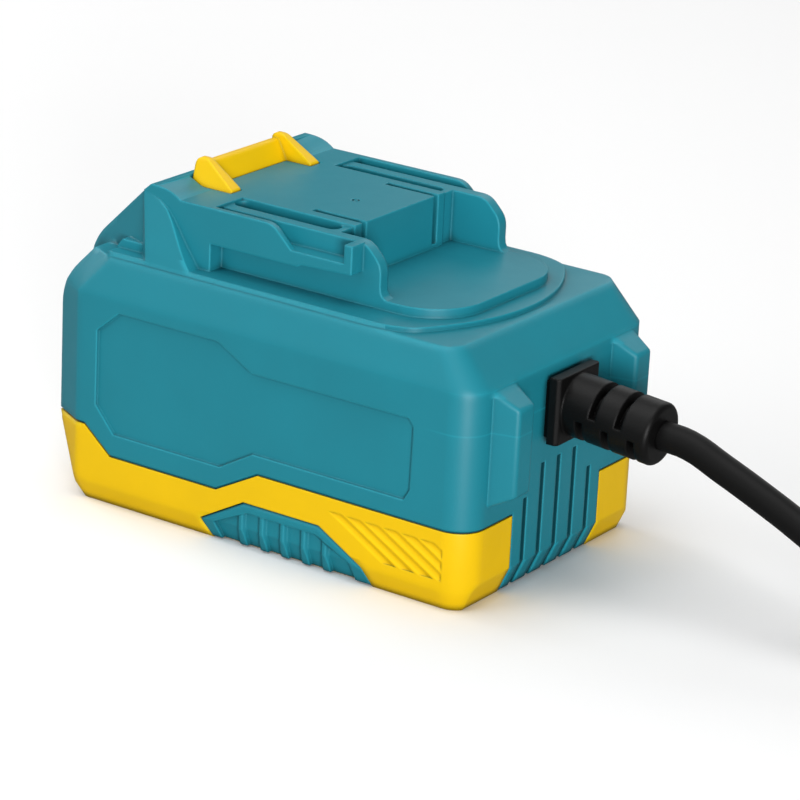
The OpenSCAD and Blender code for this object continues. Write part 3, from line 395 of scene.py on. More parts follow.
@dataclass(frozen=True)
class MouldedPiece(ABC):
    """Plastic piece as it leaves the mould: a copy of its CAD solid with outer edges rounded off.

    Lengths are in millimetres and angles in degrees. Faces that turn less than flat_turn become one, edges
    that turn less than least_turn aren't rounded, and edges that turn more than sharp_turn are shaded sharp.
    """

    node: str
    name: str
    slot: Slot
    flat_turn: float = 0.3
    least_turn: float = 10.0
    sharp_turn: float = 30.0
    round_steps: int = 4
    round_profile: float = 0.5
    weld: float = 0.001
    snap: float = 0.0001
    near: float = 0.02

    @abstractmethod
    def soften(self, shape: bmesh.types.BMesh) -> None:
        """Round off the piece's own edges.

        Args:
            shape: The piece, in metres.
        """

    def convex(self, shape: bmesh.types.BMesh, inside: Test) -> list[bmesh.types.BMEdge]:
        """Outward edges in one region.

        Args:
            shape: The piece.
            inside: Test that both ends of an edge pass, in millimetres.

        Returns:
            The edges.
        """
        least = math.radians(self.least_turn)
        return [edge for edge in shape.edges if edge.is_manifold and edge.calc_face_angle_signed(0.0) > least
                and all(inside(vert.co / MM) for vert in edge.verts)]

    def round_off(self, shape: bmesh.types.BMesh, edges: list[bmesh.types.BMEdge], reach: float) -> None:
        """Round edges.

        Args:
            shape: The piece.
            edges: What is rounded.
            reach: How far the rounding goes into each face, in millimetres.
        """
        made = bmesh.ops.bevel(
            shape, geom=edges, offset=reach * MM, segments=self.round_steps, profile=self.round_profile,
            affect="EDGES", clamp_overlap=True, material=-1)
        for face in made["faces"]:
            face.smooth = True

    def cut(self, shape: bmesh.types.BMesh, place: Point, across: Axis, inside: Test) -> None:
        """Cut the faces of one region along a plane.

        Args:
            shape: The piece.
            place: Point of the plane in millimetres.
            across: The plane's normal.
            inside: Test that every corner of a face passes, in millimetres.
        """
        faces = [face for face in shape.faces if all(inside(vert.co / MM) for vert in face.verts)]
        edges = dict.fromkeys(edge for face in faces for edge in face.edges)
        verts = dict.fromkeys(vert for face in faces for vert in face.verts)
        bmesh.ops.bisect_plane(shape, geom=[*faces, *edges, *verts], dist=self.snap * MM,
                               plane_co=Vector(place) * MM, plane_no=across.value)

    def build(self, frame: dict, finish: bpy.types.Material) -> bpy.types.Object:
        """Make the rounded copy and let it stand for its CAD node.

        Args:
            finish: Material of the piece.

        Returns:
            The piece's object.
        """
        shape = bmesh.new()
        shape.from_mesh(frame["nodes"][self.node].data)
        bmesh.ops.remove_doubles(shape, verts=shape.verts, dist=self.weld * MM)
        bmesh.ops.dissolve_limit(
            shape, angle_limit=math.radians(self.flat_turn), verts=shape.verts, edges=shape.edges)
        self.soften(shape)
        for edge in shape.edges:
            edge.smooth = edge.is_manifold and edge.calc_face_angle(math.pi) < math.radians(self.sharp_turn)
        piece = settle(shape, self.name, finish)
        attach(piece, ADAPTER_BODY)
        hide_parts(self.node)
        LOG.info("%s has %d faces", piece.name, len(piece.data.polygons))
        return piece


@dataclass(frozen=True)
class HousingHalf(MouldedPiece):
    """One half of the housing. Its tail wall stands at tail, and its long sides end at tail_bend."""

    tail: float = -63.6
    tail_bend: float = -55.1


@dataclass(frozen=True)
class UpperHousing(HousingHalf):
    """Teal half: rim, panel borders, the ribs beside the cord, tail and hump are rounded.

    The gap keeps the seam's own edge out of the borders, and the slacks keep the tail's faces in its region.
    """

    node: str = "upper_shell"
    name: str = "upper_housing"
    slot: Slot = Slot.HOUSING
    flank: float = 37.5
    seam: float = 20.0
    seam_gap: float = 0.5
    seam_slack: float = 1.0
    rim: float = 52.5
    rim_round: float = 2.0
    border_round: float = 0.45
    border_rise: float = 0.1
    nose: float = 57.4
    rib_round: float = 0.8
    tail_lean: float = 8 / 9
    tail_round: float = 6.0
    tail_steps: int = 8
    bend_slack: float = 0.1
    hood_side: float = 22.0
    tail_side: float = 33.0
    side_steps: int = 4
    full_share: float = 1.01
    crest: Point = (-39.8, 30.4, 80.2)
    hump_length: float = 8.8
    hump_fullness: float = 3.0
    block_top: float = 78.0
    hump_steps: int = 9

    def soften(self, shape: bmesh.types.BMesh) -> None:
        """See MouldedPiece."""
        rim = self.convex(
            shape, lambda spot: abs(spot.z - self.rim) < self.near and spot.x > self.tail_bend - self.near)
        self.round_off(shape, rim, self.rim_round)
        self.round_off(shape, self.ribs(shape), self.rib_round)
        self.round_off(shape, self.border(shape), self.border_round)
        self.round_tail(shape)
        self.round_hump(shape)

    def ribs(self, shape: bmesh.types.BMesh) -> list[bmesh.types.BMEdge]:
        """Outward edges of the ribs beside the cord, which start at the end wall."""
        proud = self.convex(shape, lambda spot: spot.x > self.nose - self.near)
        return [edge for edge in proud if any(vert.co.x / MM > self.nose + self.near for vert in edge.verts)]

    def border(self, shape: bmesh.types.BMesh) -> list[bmesh.types.BMEdge]:
        """Edges where the sunk panels begin in the long sides, without the seam's own edge."""

        def on_side(spot: Vector) -> bool:
            """Whether a place is on a long side."""
            return abs(abs(spot.y) - self.flank) < self.near and spot.x > self.tail_bend + self.near

        return [edge for edge in self.convex(shape, on_side)
                if min(vert.co.z for vert in edge.verts) / MM > self.seam + self.seam_gap
                or max(face.normal.z for face in edge.link_faces) > self.border_rise]

    def outline(self, height: float) -> float:
        """Where the tail's sharp outline lies along X at a height."""
        return self.tail + max(0.0, height - self.rim) * self.tail_lean

    def round_tail(self, shape: bmesh.types.BMesh) -> None:
        """Roll the tail's shoulder over at both corners, less and less towards the hood between them."""
        turn = math.atan(self.tail_lean)
        radius = self.tail_round / math.tan(turn / 2)
        foot = self.rim - self.tail_round
        width = self.tail_side - self.hood_side

        def on_outline(spot: Vector) -> bool:
            """Whether a place is on the tail's sharp outline."""
            return abs(spot.x - self.outline(spot.z)) < self.near

        def outside(spot: Vector) -> bool:
            """Whether a place is at the tail's outside."""
            behind = spot.x < self.tail_bend + self.bend_slack and spot.z > self.seam - self.seam_slack
            beside = abs(spot.y) > self.tail_side - self.near
            return behind and (on_outline(spot) or beside or spot.z > self.rim + self.near)

        for step in range(self.tail_steps + 1):
            height = foot + radius * math.sin(turn * step / self.tail_steps)
            self.cut(shape, (0, 0, height), Axis.Z, outside)
        for step in range(1, self.side_steps):
            place = self.hood_side + width * step / self.side_steps
            for side in (-1, 1):
                self.cut(shape, (0, side * place, 0), Axis.Y, outside)
        for vert in shape.verts:
            spot = vert.co / MM
            share = (abs(spot.y) - self.hood_side) / width
            in_reach = 0 < share < self.full_share and foot < spot.z < foot + radius * math.sin(turn)
            if in_reach and on_outline(spot):
                rolled = self.tail + radius - math.sqrt(radius ** 2 - (spot.z - foot) ** 2)
                vert.co.x += (rolled - spot.x) * ease(share) * MM

    def round_hump(self, shape: bmesh.types.BMesh) -> None:
        """Swell the two ends of the hood's crest into a dome in front of it."""
        first, side, top = self.crest

        def on_top(spot: Vector) -> bool:
            """Whether a place is on the block or the crest."""
            return spot.z > self.block_top - self.near and abs(spot.y) < side + self.near

        for step in range(1, self.hump_steps + 1):
            self.cut(shape, (first + self.hump_length * step / self.hump_steps, 0, 0), Axis.X, on_top)
        for vert in shape.verts:
            spot = vert.co / MM
            along = (spot.x - first) / self.hump_length
            if on_top(spot) and 0 < along < 1 and abs(spot.y) > side - self.near:
                dome = self.block_top + (top - self.block_top) * (1 - along ** self.hump_fullness)
                vert.co.z = max(vert.co.z, dome * MM)


@dataclass(frozen=True)
class LowerTray(HousingHalf):
    """Yellow half: the tail's facets and its foot are rounded."""

    node: str = "lower_shell"
    name: str = "lower_tray"
    slot: Slot = Slot.TRAY
    tail_round: float = 2.2
    bend_slack: float = 1.0
    below_seam: float = 16.5
    skin_side: float = 35.0
    underside: float = 0.1

    def soften(self, shape: bmesh.types.BMesh) -> None:
        """See MouldedPiece."""
        self.round_off(shape, self.convex(shape, self.on_tail), self.tail_round)

    def on_tail(self, spot: Vector) -> bool:
        """Whether a place is on the tail's outer skin, below the seam."""
        skin = abs(spot.y) > self.skin_side or spot.z < self.underside or spot.x < self.tail + self.near
        return skin and spot.x < self.tail_bend + self.bend_slack and spot.z < self.below_seam


@dataclass(frozen=True)
class GripInsert(MouldedPiece):
    """Teal insert in a long side of the tray, with narrow ribs and a rim that is rounded towards the tray."""

    slot: Slot = Slot.HOUSING
    sharp_turn: float = 75.0
    first_rib: float = -5.4
    rib_pitch: float = 6.0
    ribs: int = 5
    rib_reach: float = 2.6
    rib_share: float = 0.5
    rib_top: float = 37.4
    rib_root: float = 34.5
    rim_round: float = 1.0
    wall_lean: float = 0.1
    foot: float = 0.6

    def soften(self, shape: bmesh.types.BMesh) -> None:
        """See MouldedPiece."""
        for vert in shape.verts:
            spot = vert.co / MM
            number = round((spot.x - self.first_rib) / self.rib_pitch)
            middle = self.first_rib + number * self.rib_pitch
            proud = self.rib_root < abs(spot.y) < self.rib_top + self.near
            if proud and 0 <= number < self.ribs and abs(spot.x - middle) < self.rib_reach:
                vert.co.x = (middle + (spot.x - middle) * self.rib_share) * MM
        outer = self.convex(shape, lambda spot: abs(spot.y) > self.rib_root and spot.z > self.foot)
        rim = [edge for edge in outer if sum(self.is_wall(face) for face in edge.link_faces) == 1]
        self.round_off(shape, rim, self.rim_round)

    def is_wall(self, face: bmesh.types.BMFace) -> bool:
        """Whether a face is a side wall, which reaches from the insert's front to its back."""
        deepest = min(abs(vert.co.y) for vert in face.verts)
        return abs(face.normal.y) < self.wall_lean and deepest < self.rib_root * MM


GRIPS = (GripInsert("grip_left", "near_grip"), GripInsert("grip_right", "far_grip"))


# Node trees


class Graph:
    """Adds nodes to one tree and joins them."""

    def __init__(self, tree: bpy.types.NodeTree) -> None:
        """Start with an empty tree."""
        self.tree = tree
        tree.nodes.clear()

    def add(self, kind: str, feeds: Feeds | None = None, **settings: Any) -> bpy.types.Node:
        """Add a node.

        Args:
            kind: Blender's name of the node's type.
            feeds: Value or socket for each input, by its name or number.
            settings: The node's other properties.

        Returns:
            The node.
        """
        node = self.tree.nodes.new(kind)
        for key, value in settings.items():
            setattr(node, key, value)
        for key, value in (feeds or {}).items():
            if isinstance(value, bpy.types.NodeSocket):
                self.tree.links.new(value, node.inputs[key])
            else:
                node.inputs[key].default_value = value
        return node

    def place(self, tree: bpy.types.NodeTree, feeds: Feeds) -> bpy.types.NodeOutputs:
        """Place a node group and give its outputs."""
        return self.add("ShaderNodeGroup", feeds, node_tree=tree).outputs

    def calc(self, operation: str, first: Feed, second: Feed = 0.0) -> bpy.types.NodeSocket:
        """Result of a Math node."""
        return self.add("ShaderNodeMath", {0: first, 1: second}, operation=operation).outputs[0]

    def span(self, value: Feed, source: Range, target: Range = UNIT) -> bpy.types.NodeSocket:
        """Value moved from one range to another and kept inside it.

        Args:
            value: What is moved.
            source: Range that it comes from.
            target: Range that it goes to.

        Returns:
            The new value's socket.
        """
        feeds = {"Value": value, "From Min": source[0], "From Max": source[1],
                 "To Min": target[0], "To Max": target[1]}
        return self.add("ShaderNodeMapRange", feeds).outputs["Result"]

    def blend(self, factor: Feed, first: Feed, second: Feed) -> bpy.types.NodeSocket:
        """Colour between two colours."""
        return self.add("ShaderNodeMix", {0: factor, 6: first, 7: second}, data_type="RGBA").outputs[2]

    def noise(self, vector: Feed, scale: Feed, detail: float, rough: float) -> bpy.types.NodeSocket:
        """Value of a noise texture."""
        feeds = {"Vector": vector, "Scale": scale, "Detail": detail, "Roughness": rough}
        return self.add("ShaderNodeTexNoise", feeds).outputs["Fac"]

    def bump(self, height: Feed, depth: float, strength: float,
             over: Feed | None = None) -> bpy.types.NodeSocket:
        """Normal of a relief, laid over another normal where one is given."""
        feeds = {"Height": height, "Distance": depth, "Strength": strength}
        if over is not None:
            feeds["Normal"] = over
        return self.add("ShaderNodeBump", feeds).outputs["Normal"]

    def split(self, vector: Feed) -> tuple[bpy.types.NodeSocket, ...]:
        """Three parts of a vector."""
        return tuple(self.add("ShaderNodeSeparateXYZ", {0: vector}).outputs)

    def coords(self) -> bpy.types.NodeSocket:
        """Object coordinates, which are the part's own frame in metres."""
        return self.add("ShaderNodeTexCoord").outputs["Object"]


class Effects:
    """Surface effects that several finishes share, each a node group built once.

    Each range says between which two readings of a texture or a ray test an effect goes from none to full.
    """

    edge_range: Range = (0.995, 0.8)
    wide_range: Range = (0.68, 0.22)
    fine_range: Range = (0.9, 0.5)
    fine_depth: Range = (0.0, 0.5)
    fine_reach: float = 0.3
    patch_range: Range = (0.3, 0.7)
    patch_scale: float = 0.016
    dull_range: Range = (0.35, 0.75)
    dull_scale: float = 0.08
    drawn_scale: Point = (1.0, 1.0, 0.06)

    def __init__(self) -> None:
        """Build the groups."""
        self.soft_edges = self._soft_edges()
        self.crevices = self._crevices()
        self.mould_grain = self._mould_grain()
        self.drawn_metal = self._drawn_metal()

    @staticmethod
    def _start(name: str, inputs: Mapping[str, float], outputs: Mapping[str, str]) -> tuple[Graph, Any, Any]:
        """Begin a node group.

        Args:
            name: The group's name.
            inputs: Name and first value of each number that goes in.
            outputs: Name and socket kind of each result.

        Returns:
            Its graph, its input node's outputs and its output node's inputs.
        """
        tree = bpy.data.node_groups.new(name, "ShaderNodeTree")
        for label, value in inputs.items():
            socket = tree.interface.new_socket(name=label, in_out="INPUT", socket_type="NodeSocketFloat")
            socket.default_value = value
        for label, kind in outputs.items():
            tree.interface.new_socket(name=label, in_out="OUTPUT", socket_type="NodeSocket" + kind)
        graph = Graph(tree)
        return graph, graph.add("NodeGroupInput").outputs, graph.add("NodeGroupOutput").inputs

    def _soft_edges(self) -> bpy.types.NodeTree:
        """Rounded-off normals at edges, and a mask of those edges."""
        results = {"Normal": "Vector", "Edge": "Float"}
        graph, given, result = self._start("soft_edges", {"Radius": 0.0006}, results)
        bevel = graph.add("ShaderNodeBevel", {"Radius": given["Radius"]}, samples=RAY_SAMPLES)
        rounded = bevel.outputs["Normal"]
        flat = graph.add("ShaderNodeNewGeometry").outputs["True Normal"]
        turned = graph.add("ShaderNodeVectorMath", {0: rounded, 1: flat}, operation="DOT_PRODUCT")
        graph.tree.links.new(rounded, result["Normal"])
        graph.tree.links.new(graph.span(turned.outputs["Value"], self.edge_range), result["Edge"])
        return graph.tree

    def _crevices(self) -> bpy.types.NodeTree:
        """Mask of slots, seams and narrow corners, where little light gets in."""
        graph, given, result = self._start("crevices", {"Distance": 0.003}, {"Depth": "Float"})
        kind = "ShaderNodeAmbientOcclusion"
        reach = graph.calc("MULTIPLY", given["Distance"], self.fine_reach)
        wide = graph.add(kind, {"Distance": given["Distance"]}, samples=RAY_SAMPLES).outputs["AO"]
        fine = graph.add(kind, {"Distance": reach}, samples=RAY_SAMPLES).outputs["AO"]
        narrow = graph.span(fine, self.fine_range, self.fine_depth)
        depth = graph.calc("MAXIMUM", graph.span(wide, self.wide_range), narrow)
        graph.tree.links.new(depth, result["Depth"])
        return graph.tree

    def _mould_grain(self) -> bpy.types.NodeTree:
        """Fine spark-eroded grain of a mould, and the broad patches where the melt shows through."""
        results = {"Height": "Float", "Patch": "Float"}
        graph, given, result = self._start("mould_grain", {"Scale": 2600.0}, results)
        coords = graph.coords()
        fine = graph.noise(coords, given["Scale"], detail=3.0, rough=0.62)
        broad_scale = graph.calc("MULTIPLY", given["Scale"], self.patch_scale)
        broad = graph.noise(coords, broad_scale, detail=4.0, rough=0.55)
        graph.tree.links.new(fine, result["Height"])
        graph.tree.links.new(graph.span(broad, self.patch_range), result["Patch"])
        return graph.tree

    def _drawn_metal(self) -> bpy.types.NodeTree:
        """Fine drawing lines along Z and a few dull spots."""
        results = {"Height": "Float", "Dull": "Float"}
        graph, given, result = self._start("drawn_metal", {"Scale": 4000.0}, results)
        coords = graph.coords()
        drawn = graph.add("ShaderNodeMapping", {"Vector": coords, "Scale": self.drawn_scale})
        lines = graph.noise(drawn.outputs["Vector"], given["Scale"], detail=2.0, rough=0.6)
        spot_scale = graph.calc("MULTIPLY", given["Scale"], self.dull_scale)
        spots = graph.noise(coords, spot_scale, detail=3.0, rough=0.6)
        graph.tree.links.new(lines, result["Height"])
        graph.tree.links.new(graph.span(spots, self.dull_range), result["Dull"])
        return graph.tree


# Finishes


@dataclass(frozen=True)
class Finish(ABC):
    """What a piece's surface is made of."""

    name: str
    colour: Colour

    def material(self, effects: Effects) -> bpy.types.Material:
        """Make the finish's material.

        Args:
            effects: Shared node groups.

        Returns:
            The material.
        """
        material = bpy.data.materials.new(self.name)
        material.use_nodes = True
        graph = Graph(material.node_tree)
        shader = graph.add("ShaderNodeBsdfPrincipled", self.surface(graph, effects))
        graph.add("ShaderNodeOutputMaterial", {"Surface": shader.outputs["BSDF"]})
        return material

    @abstractmethod
    def surface(self, graph: Graph, effects: Effects) -> dict[str, Feed]:
        """What feeds the shader's sockets.

        Args:
            graph: The material's graph.
            effects: Shared node groups.

        Returns:
            Value or socket by the name of the shader's input.
        """


@dataclass(frozen=True)
class Moulding(Finish):
    """Moulded plastic or soft PVC with a fine grain, softened edges lightened by a painted highlight, and
    painted shade in its crevices.

    Lengths are in metres. Its patches differ from the roughness by the two values of gloss.
    """

    roughness: float = 0.4
    gloss: Range = (0.05, -0.03)
    grain: float = 2600.0
    depth: float = 0.00003
    edge: float = 0.0007
    # Painted highlight on convex edges: how strong it is, and how much lighter than the colour it is.
    edge_highlight: float = 0.25
    highlight_tint: float = 1.9
    # Painted shade in crevices and vents: how strong it is, and how dark against the colour it is.
    crevice_shade: float = 0.85
    crevice_tint: float = 0.15
    spread: float = 0.04
    specular: float = 0.5

    def edge_radius(self, graph: Graph) -> Feed:
        """How far edges are rounded."""
        return self.edge

    def shade_mask(self, graph: Graph, effects: Effects) -> bpy.types.NodeSocket:
        """Mask of where shade is painted into crevices."""
        return graph.place(effects.crevices, {})["Depth"]

    def surface(self, graph: Graph, effects: Effects) -> dict[str, Feed]:
        """See Finish."""
        edges = graph.place(effects.soft_edges, {"Radius": self.edge_radius(graph)})
        grain = graph.place(effects.mould_grain, {"Scale": self.grain})
        depth = self.shade_mask(graph, effects)
        dark, pale = shade(self.colour, 1 - self.spread), shade(self.colour, 1 + self.spread)
        tone = graph.blend(grain["Patch"], dark, pale)
        # Painted shade: crevices and slots are darkened towards a dark copy of the colour.
        crevice_darkening = graph.calc("MULTIPLY", depth, self.crevice_shade)
        shaded = graph.blend(crevice_darkening, tone, shade(self.colour, self.crevice_tint))
        # Painted highlight: convex edges outside crevices are lightened towards a light copy of the colour.
        ridge = graph.calc("MULTIPLY", edges["Edge"], graph.calc("SUBTRACT", 1.0, depth))
        highlight_share = graph.calc("MULTIPLY", ridge, self.edge_highlight)
        highlighted = graph.blend(highlight_share, shaded, shade(self.colour, self.highlight_tint))
        bump = graph.bump(grain["Height"], self.depth, strength=0.6, over=edges["Normal"])
        dull, bright = (self.roughness + change for change in self.gloss)
        gloss = graph.span(grain["Patch"], UNIT, (dull, bright))
        return {"Base Color": highlighted, "Roughness": gloss, "Normal": bump, "Specular IOR Level": self.specular}


@dataclass(frozen=True)
class Shell(Moulding):
    """Housing half, with its places in metres.

    Its rim, tail and foot are rounder than its details, shade is painted inside its vents, and a faint
    parting line near the cord is painted as a highlight.
    """

    broad_edge: float = 0.003
    rim: float = 0.0508
    foot: float = 0.0066
    tail: float = -0.0535
    flank: float = 0.0338
    nose: float = 0.0478
    foot_lean: float = 2.9 / 6.5
    # Where shade is painted inside the vents of the end wall.
    vent_wall: float = 0.0574
    vent_side: float = 0.0185
    vent_top: float = 0.0295
    vent_depth: float = 0.006
    vent_lip: Range = (0.00005, 0.0003)
    # Painted highlight along the parting line: its height, fade, reach along X and strength.
    line: float = 0.0425
    line_fade: Range = (0.0001, 0.0003)
    line_reach: Range = (0.044, 0.05)
    line_strength: float = 0.22

    def edge_radius(self, graph: Graph) -> Feed:
        """How far edges are rounded: broadly round the outside, finely elsewhere."""
        x, y, z = graph.split(graph.coords())
        aside = graph.calc("GREATER_THAN", graph.calc("ABSOLUTE", y), self.flank)
        outside = graph.calc("MAXIMUM", aside, graph.calc("GREATER_THAN", x, self.nose))
        high = graph.calc("MULTIPLY", outside, graph.calc("GREATER_THAN", z, self.rim))
        low = graph.calc("LESS_THAN", z, self.foot)
        ends = graph.calc("MAXIMUM", low, graph.calc("LESS_THAN", x, self.tail))
        return graph.span(graph.calc("MAXIMUM", high, ends), UNIT, (self.edge, self.broad_edge))

    def shade_mask(self, graph: Graph, effects: Effects) -> bpy.types.NodeSocket:
        """Mask of where shade is painted: into crevices, and also inside the vents of the end wall."""
        x, y, z = graph.split(graph.coords())
        below = graph.calc("MAXIMUM", graph.calc("SUBTRACT", self.foot, z), 0.0)
        upright = graph.calc("ADD", x, graph.calc("MULTIPLY", below, self.foot_lean))
        # Painted shade inside the vents: their walls darken from just behind the end wall's face.
        lip, full = (self.vent_wall - depth for depth in self.vent_lip)
        inside = graph.span(upright, (lip, full))
        for limit in (graph.calc("LESS_THAN", graph.calc("ABSOLUTE", y), self.vent_side),
                      graph.calc("LESS_THAN", z, self.vent_top),
                      graph.calc("GREATER_THAN", x, self.vent_wall - self.vent_depth)):
            inside = graph.calc("MULTIPLY", inside, limit)
        return graph.calc("MAXIMUM", super().shade_mask(graph, effects), inside)

    def surface(self, graph: Graph, effects: Effects) -> dict[str, Feed]:
        """See Finish."""
        feeds = super().surface(graph, effects)
        x, _, z = graph.split(graph.coords())
        # Painted highlight: a faint lighter band along the parting line near the cord.
        apart = graph.calc("ABSOLUTE", graph.calc("SUBTRACT", z, self.line))
        near = graph.span(apart, self.line_fade, (1.0, 0.0))
        shown = graph.calc("MULTIPLY", near, graph.span(x, self.line_reach, (0.0, self.line_strength)))
        feeds["Base Color"] = graph.blend(shown, feeds["Base Color"], shade(self.colour, self.highlight_tint))
        return feeds


@dataclass(frozen=True)
class BareMetal(Finish):
    """Drawn, stamped or plated metal."""

    roughness: float = 0.3
    dulling: float = 0.15
    tones: Range = (1.08, 0.78)
    lines: float = 4000.0
    depth: float = 0.00001
    edge: float = 0.0002

    def surface(self, graph: Graph, effects: Effects) -> dict[str, Feed]:
        """See Finish."""
        edges = graph.place(effects.soft_edges, {"Radius": self.edge})
        drawn = graph.place(effects.drawn_metal, {"Scale": self.lines})
        tone = graph.blend(drawn["Dull"], *(shade(self.colour, factor) for factor in self.tones))
        bump = graph.bump(drawn["Height"], self.depth, strength=0.5, over=edges["Normal"])
        gloss = graph.span(drawn["Dull"], UNIT, (self.roughness, self.roughness + self.dulling))
        return {"Base Color": tone, "Metallic": 1.0, "Roughness": gloss, "Normal": bump}


@dataclass(frozen=True)
class Winding(Finish):
    """Enamelled wire laid turn beside turn."""

    axis: Axis = Axis.X
    pitch: float = 0.0006
    grain: float = 900.0
    tones: Range = (0.35, 1.15)
    gloss: Range = (0.25, 0.4)

    def surface(self, graph: Graph, effects: Effects) -> dict[str, Feed]:
        """See Finish."""
        grain = graph.place(effects.mould_grain, {"Scale": self.grain})
        turns = {"Vector": graph.coords(), "Scale": WAVE_PERIOD / self.pitch,
                 "Distortion": 0.6, "Detail": 1.0}
        wave = graph.add("ShaderNodeTexWave", turns, bands_direction=self.axis.name).outputs["Fac"]
        # Painted shade in the gaps between turns and painted highlight on their crests.
        tone = graph.blend(wave, *(shade(self.colour, factor) for factor in self.tones))
        bump = graph.bump(wave, self.pitch / 2, strength=1.0)
        gloss = graph.span(grain["Patch"], UNIT, self.gloss)
        return {"Base Color": tone, "Metallic": 0.85, "Roughness": gloss, "Normal": bump}


@dataclass(frozen=True)
class Laminate(Finish):
    """Circuit board: solder mask over copper tracks, with tinned pads."""

    track: Colour = srgb(58, 140, 92)
    track_range: Range = (0.55, 0.62)
    pad: Colour = srgb(196, 198, 200)
    pad_range: Range = (0.26, 0.2)
    gloss: Range = (0.35, 0.28)
    depth: float = 0.00004

    def surface(self, graph: Graph, effects: Effects) -> dict[str, Feed]:
        """See Finish."""
        coords = graph.coords()
        bands = {"Vector": coords, "Scale": 90.0, "Distortion": 9.0, "Detail": 0.0, "Detail Scale": 0.6}
        lines = graph.add("ShaderNodeTexWave", bands, bands_direction="Y").outputs["Fac"]
        cells = graph.add("ShaderNodeTexVoronoi", {"Vector": coords, "Scale": 330.0, "Randomness": 0.45})
        tracks = graph.span(lines, self.track_range)
        pads = graph.span(cells.outputs["Distance"], self.pad_range)
        mask = graph.blend(tracks, shade(self.colour, 1.0), shade(self.track, 1.0))
        tone = graph.blend(pads, mask, shade(self.pad, 1.0))
        bump = graph.bump(graph.calc("ADD", tracks, pads), self.depth, strength=0.6)
        gloss = graph.span(pads, UNIT, self.gloss)
        return {"Base Color": tone, "Metallic": pads, "Roughness": gloss, "Normal": bump}


@dataclass(frozen=True)
class Capped(Finish):
    """Piece whose two ends are bare metal, such as a sleeved can, a fuse or a tabbed device.

    Its patches differ from the roughness by the two values of gloss.
    """

    centre: float = 0.0
    half: float = 0.01
    fade: float = 0.0001
    axis: Axis = Axis.Z
    metal: Colour = srgb(205, 207, 210)
    tones: Range = (0.9, 1.12)
    roughness: float = 0.35
    gloss: Range = (-0.05, 0.08)
    grain: float = 3200.0
    depth: float = 0.00002
    edge: float = 0.0004

    def surface(self, graph: Graph, effects: Effects) -> dict[str, Feed]:
        """See Finish."""
        ends = {0: graph.coords(), 1: self.axis.value}
        along = graph.add("ShaderNodeVectorMath", ends, operation="DOT_PRODUCT").outputs["Value"]
        apart = graph.calc("ABSOLUTE", graph.calc("SUBTRACT", along, self.centre))
        bare = graph.span(apart, (self.half - self.fade, self.half + self.fade))
        grain = graph.place(effects.mould_grain, {"Scale": self.grain})
        edges = graph.place(effects.soft_edges, {"Radius": self.edge})
        sleeve = graph.blend(grain["Patch"], *(shade(self.colour, factor) for factor in self.tones))
        tone = graph.blend(bare, sleeve, shade(self.metal, 1.0))
        bump = graph.bump(grain["Height"], self.depth, strength=0.4, over=edges["Normal"])
        bright, dull = (self.roughness + change for change in self.gloss)
        gloss = graph.span(grain["Patch"], UNIT, (bright, dull))
        return {"Base Color": tone, "Metallic": bare, "Roughness": gloss, "Normal": bump}


@dataclass(frozen=True)
class TableTop(Finish):
    """Pale matt table that throws less light back on the object than it shows."""

    bounce: Colour = (0.3, 0.3, 0.3)

    def surface(self, graph: Graph, effects: Effects) -> dict[str, Feed]:
        """See Finish."""
        seen = graph.add("ShaderNodeLightPath").outputs["Is Camera Ray"]
        tone = graph.blend(seen, shade(self.bounce, 1.0), shade(self.colour, 1.0))
        return {"Base Color": tone, "Roughness": 0.9, "Specular IOR Level": 0.1}


# Each finish sets how strongly it paints highlights on its edges and shade into its crevices.
TEAL = Shell("teal_shell", srgb(26, 126, 142), roughness=0.42, edge=0.0008, edge_highlight=0.7, specular=0.35)
GRIP = Moulding("teal_grip", TEAL.colour, roughness=0.42, edge=0.0008, edge_highlight=0.5, specular=0.35)
YELLOW = Shell("yellow_shell", srgb(236, 191, 2), roughness=0.4, edge=0.0006, specular=0.3)
HOOK = Moulding("yellow_hook", srgb(232, 188, 2), roughness=0.4, edge=0.0008, specular=0.3)
BUSHING = Moulding("black_bushing", srgb(11, 11, 11), roughness=0.42, grain=1800.0, spread=0.12, edge=0.0008,
                   edge_highlight=0.2, specular=0.19)
JACKET = Moulding("cord_jacket", srgb(13, 13, 13), roughness=0.48, grain=1800.0, spread=0.12, edge_highlight=0.0,
                  specular=0.16)
STRAP = Moulding("strap", srgb(30, 30, 32), roughness=0.5, grain=3600.0, spread=0.1)
EPOXY = Moulding("epoxy", srgb(34, 35, 38), roughness=0.5, grain=3000.0, edge=0.0003)
FERRITE = Moulding("ferrite", srgb(58, 58, 62), roughness=0.6, grain=1500.0, depth=0.00006, spread=0.12)
FILM = Moulding("film_box", srgb(214, 178, 52), roughness=0.38)
STEEL = BareMetal("zinc_steel", srgb(190, 193, 198), roughness=0.32)
NICKEL = BareMetal("nickel", srgb(214, 212, 205), roughness=0.2)
BRASS = BareMetal("brass", srgb(206, 170, 84), roughness=0.28)
SINK = BareMetal("aluminium", srgb(176, 180, 185), roughness=0.38)
BOARD = Laminate("solder_mask", srgb(26, 92, 58))
COPPER = Winding("copper_winding", srgb(196, 110, 52))
CHOKE = Winding("choke_winding", srgb(188, 100, 46), axis=Axis.Y, pitch=0.0009)
BULK_CAN = Capped("black_can", srgb(36, 38, 42), centre=0.0214, half=0.0141)
OUTPUT_CAN = Capped("blue_can", srgb(42, 62, 108), centre=0.0174, half=0.0101)
FUSE = Capped("fuse_tube", srgb(228, 224, 212), centre=0.006, half=0.0068, axis=Axis.Y)
DEVICE = Capped("tabbed_device", srgb(40, 41, 44), centre=0.0205, half=0.0045)
TABLE = TableTop("table_top", (0.97, 0.97, 0.97))
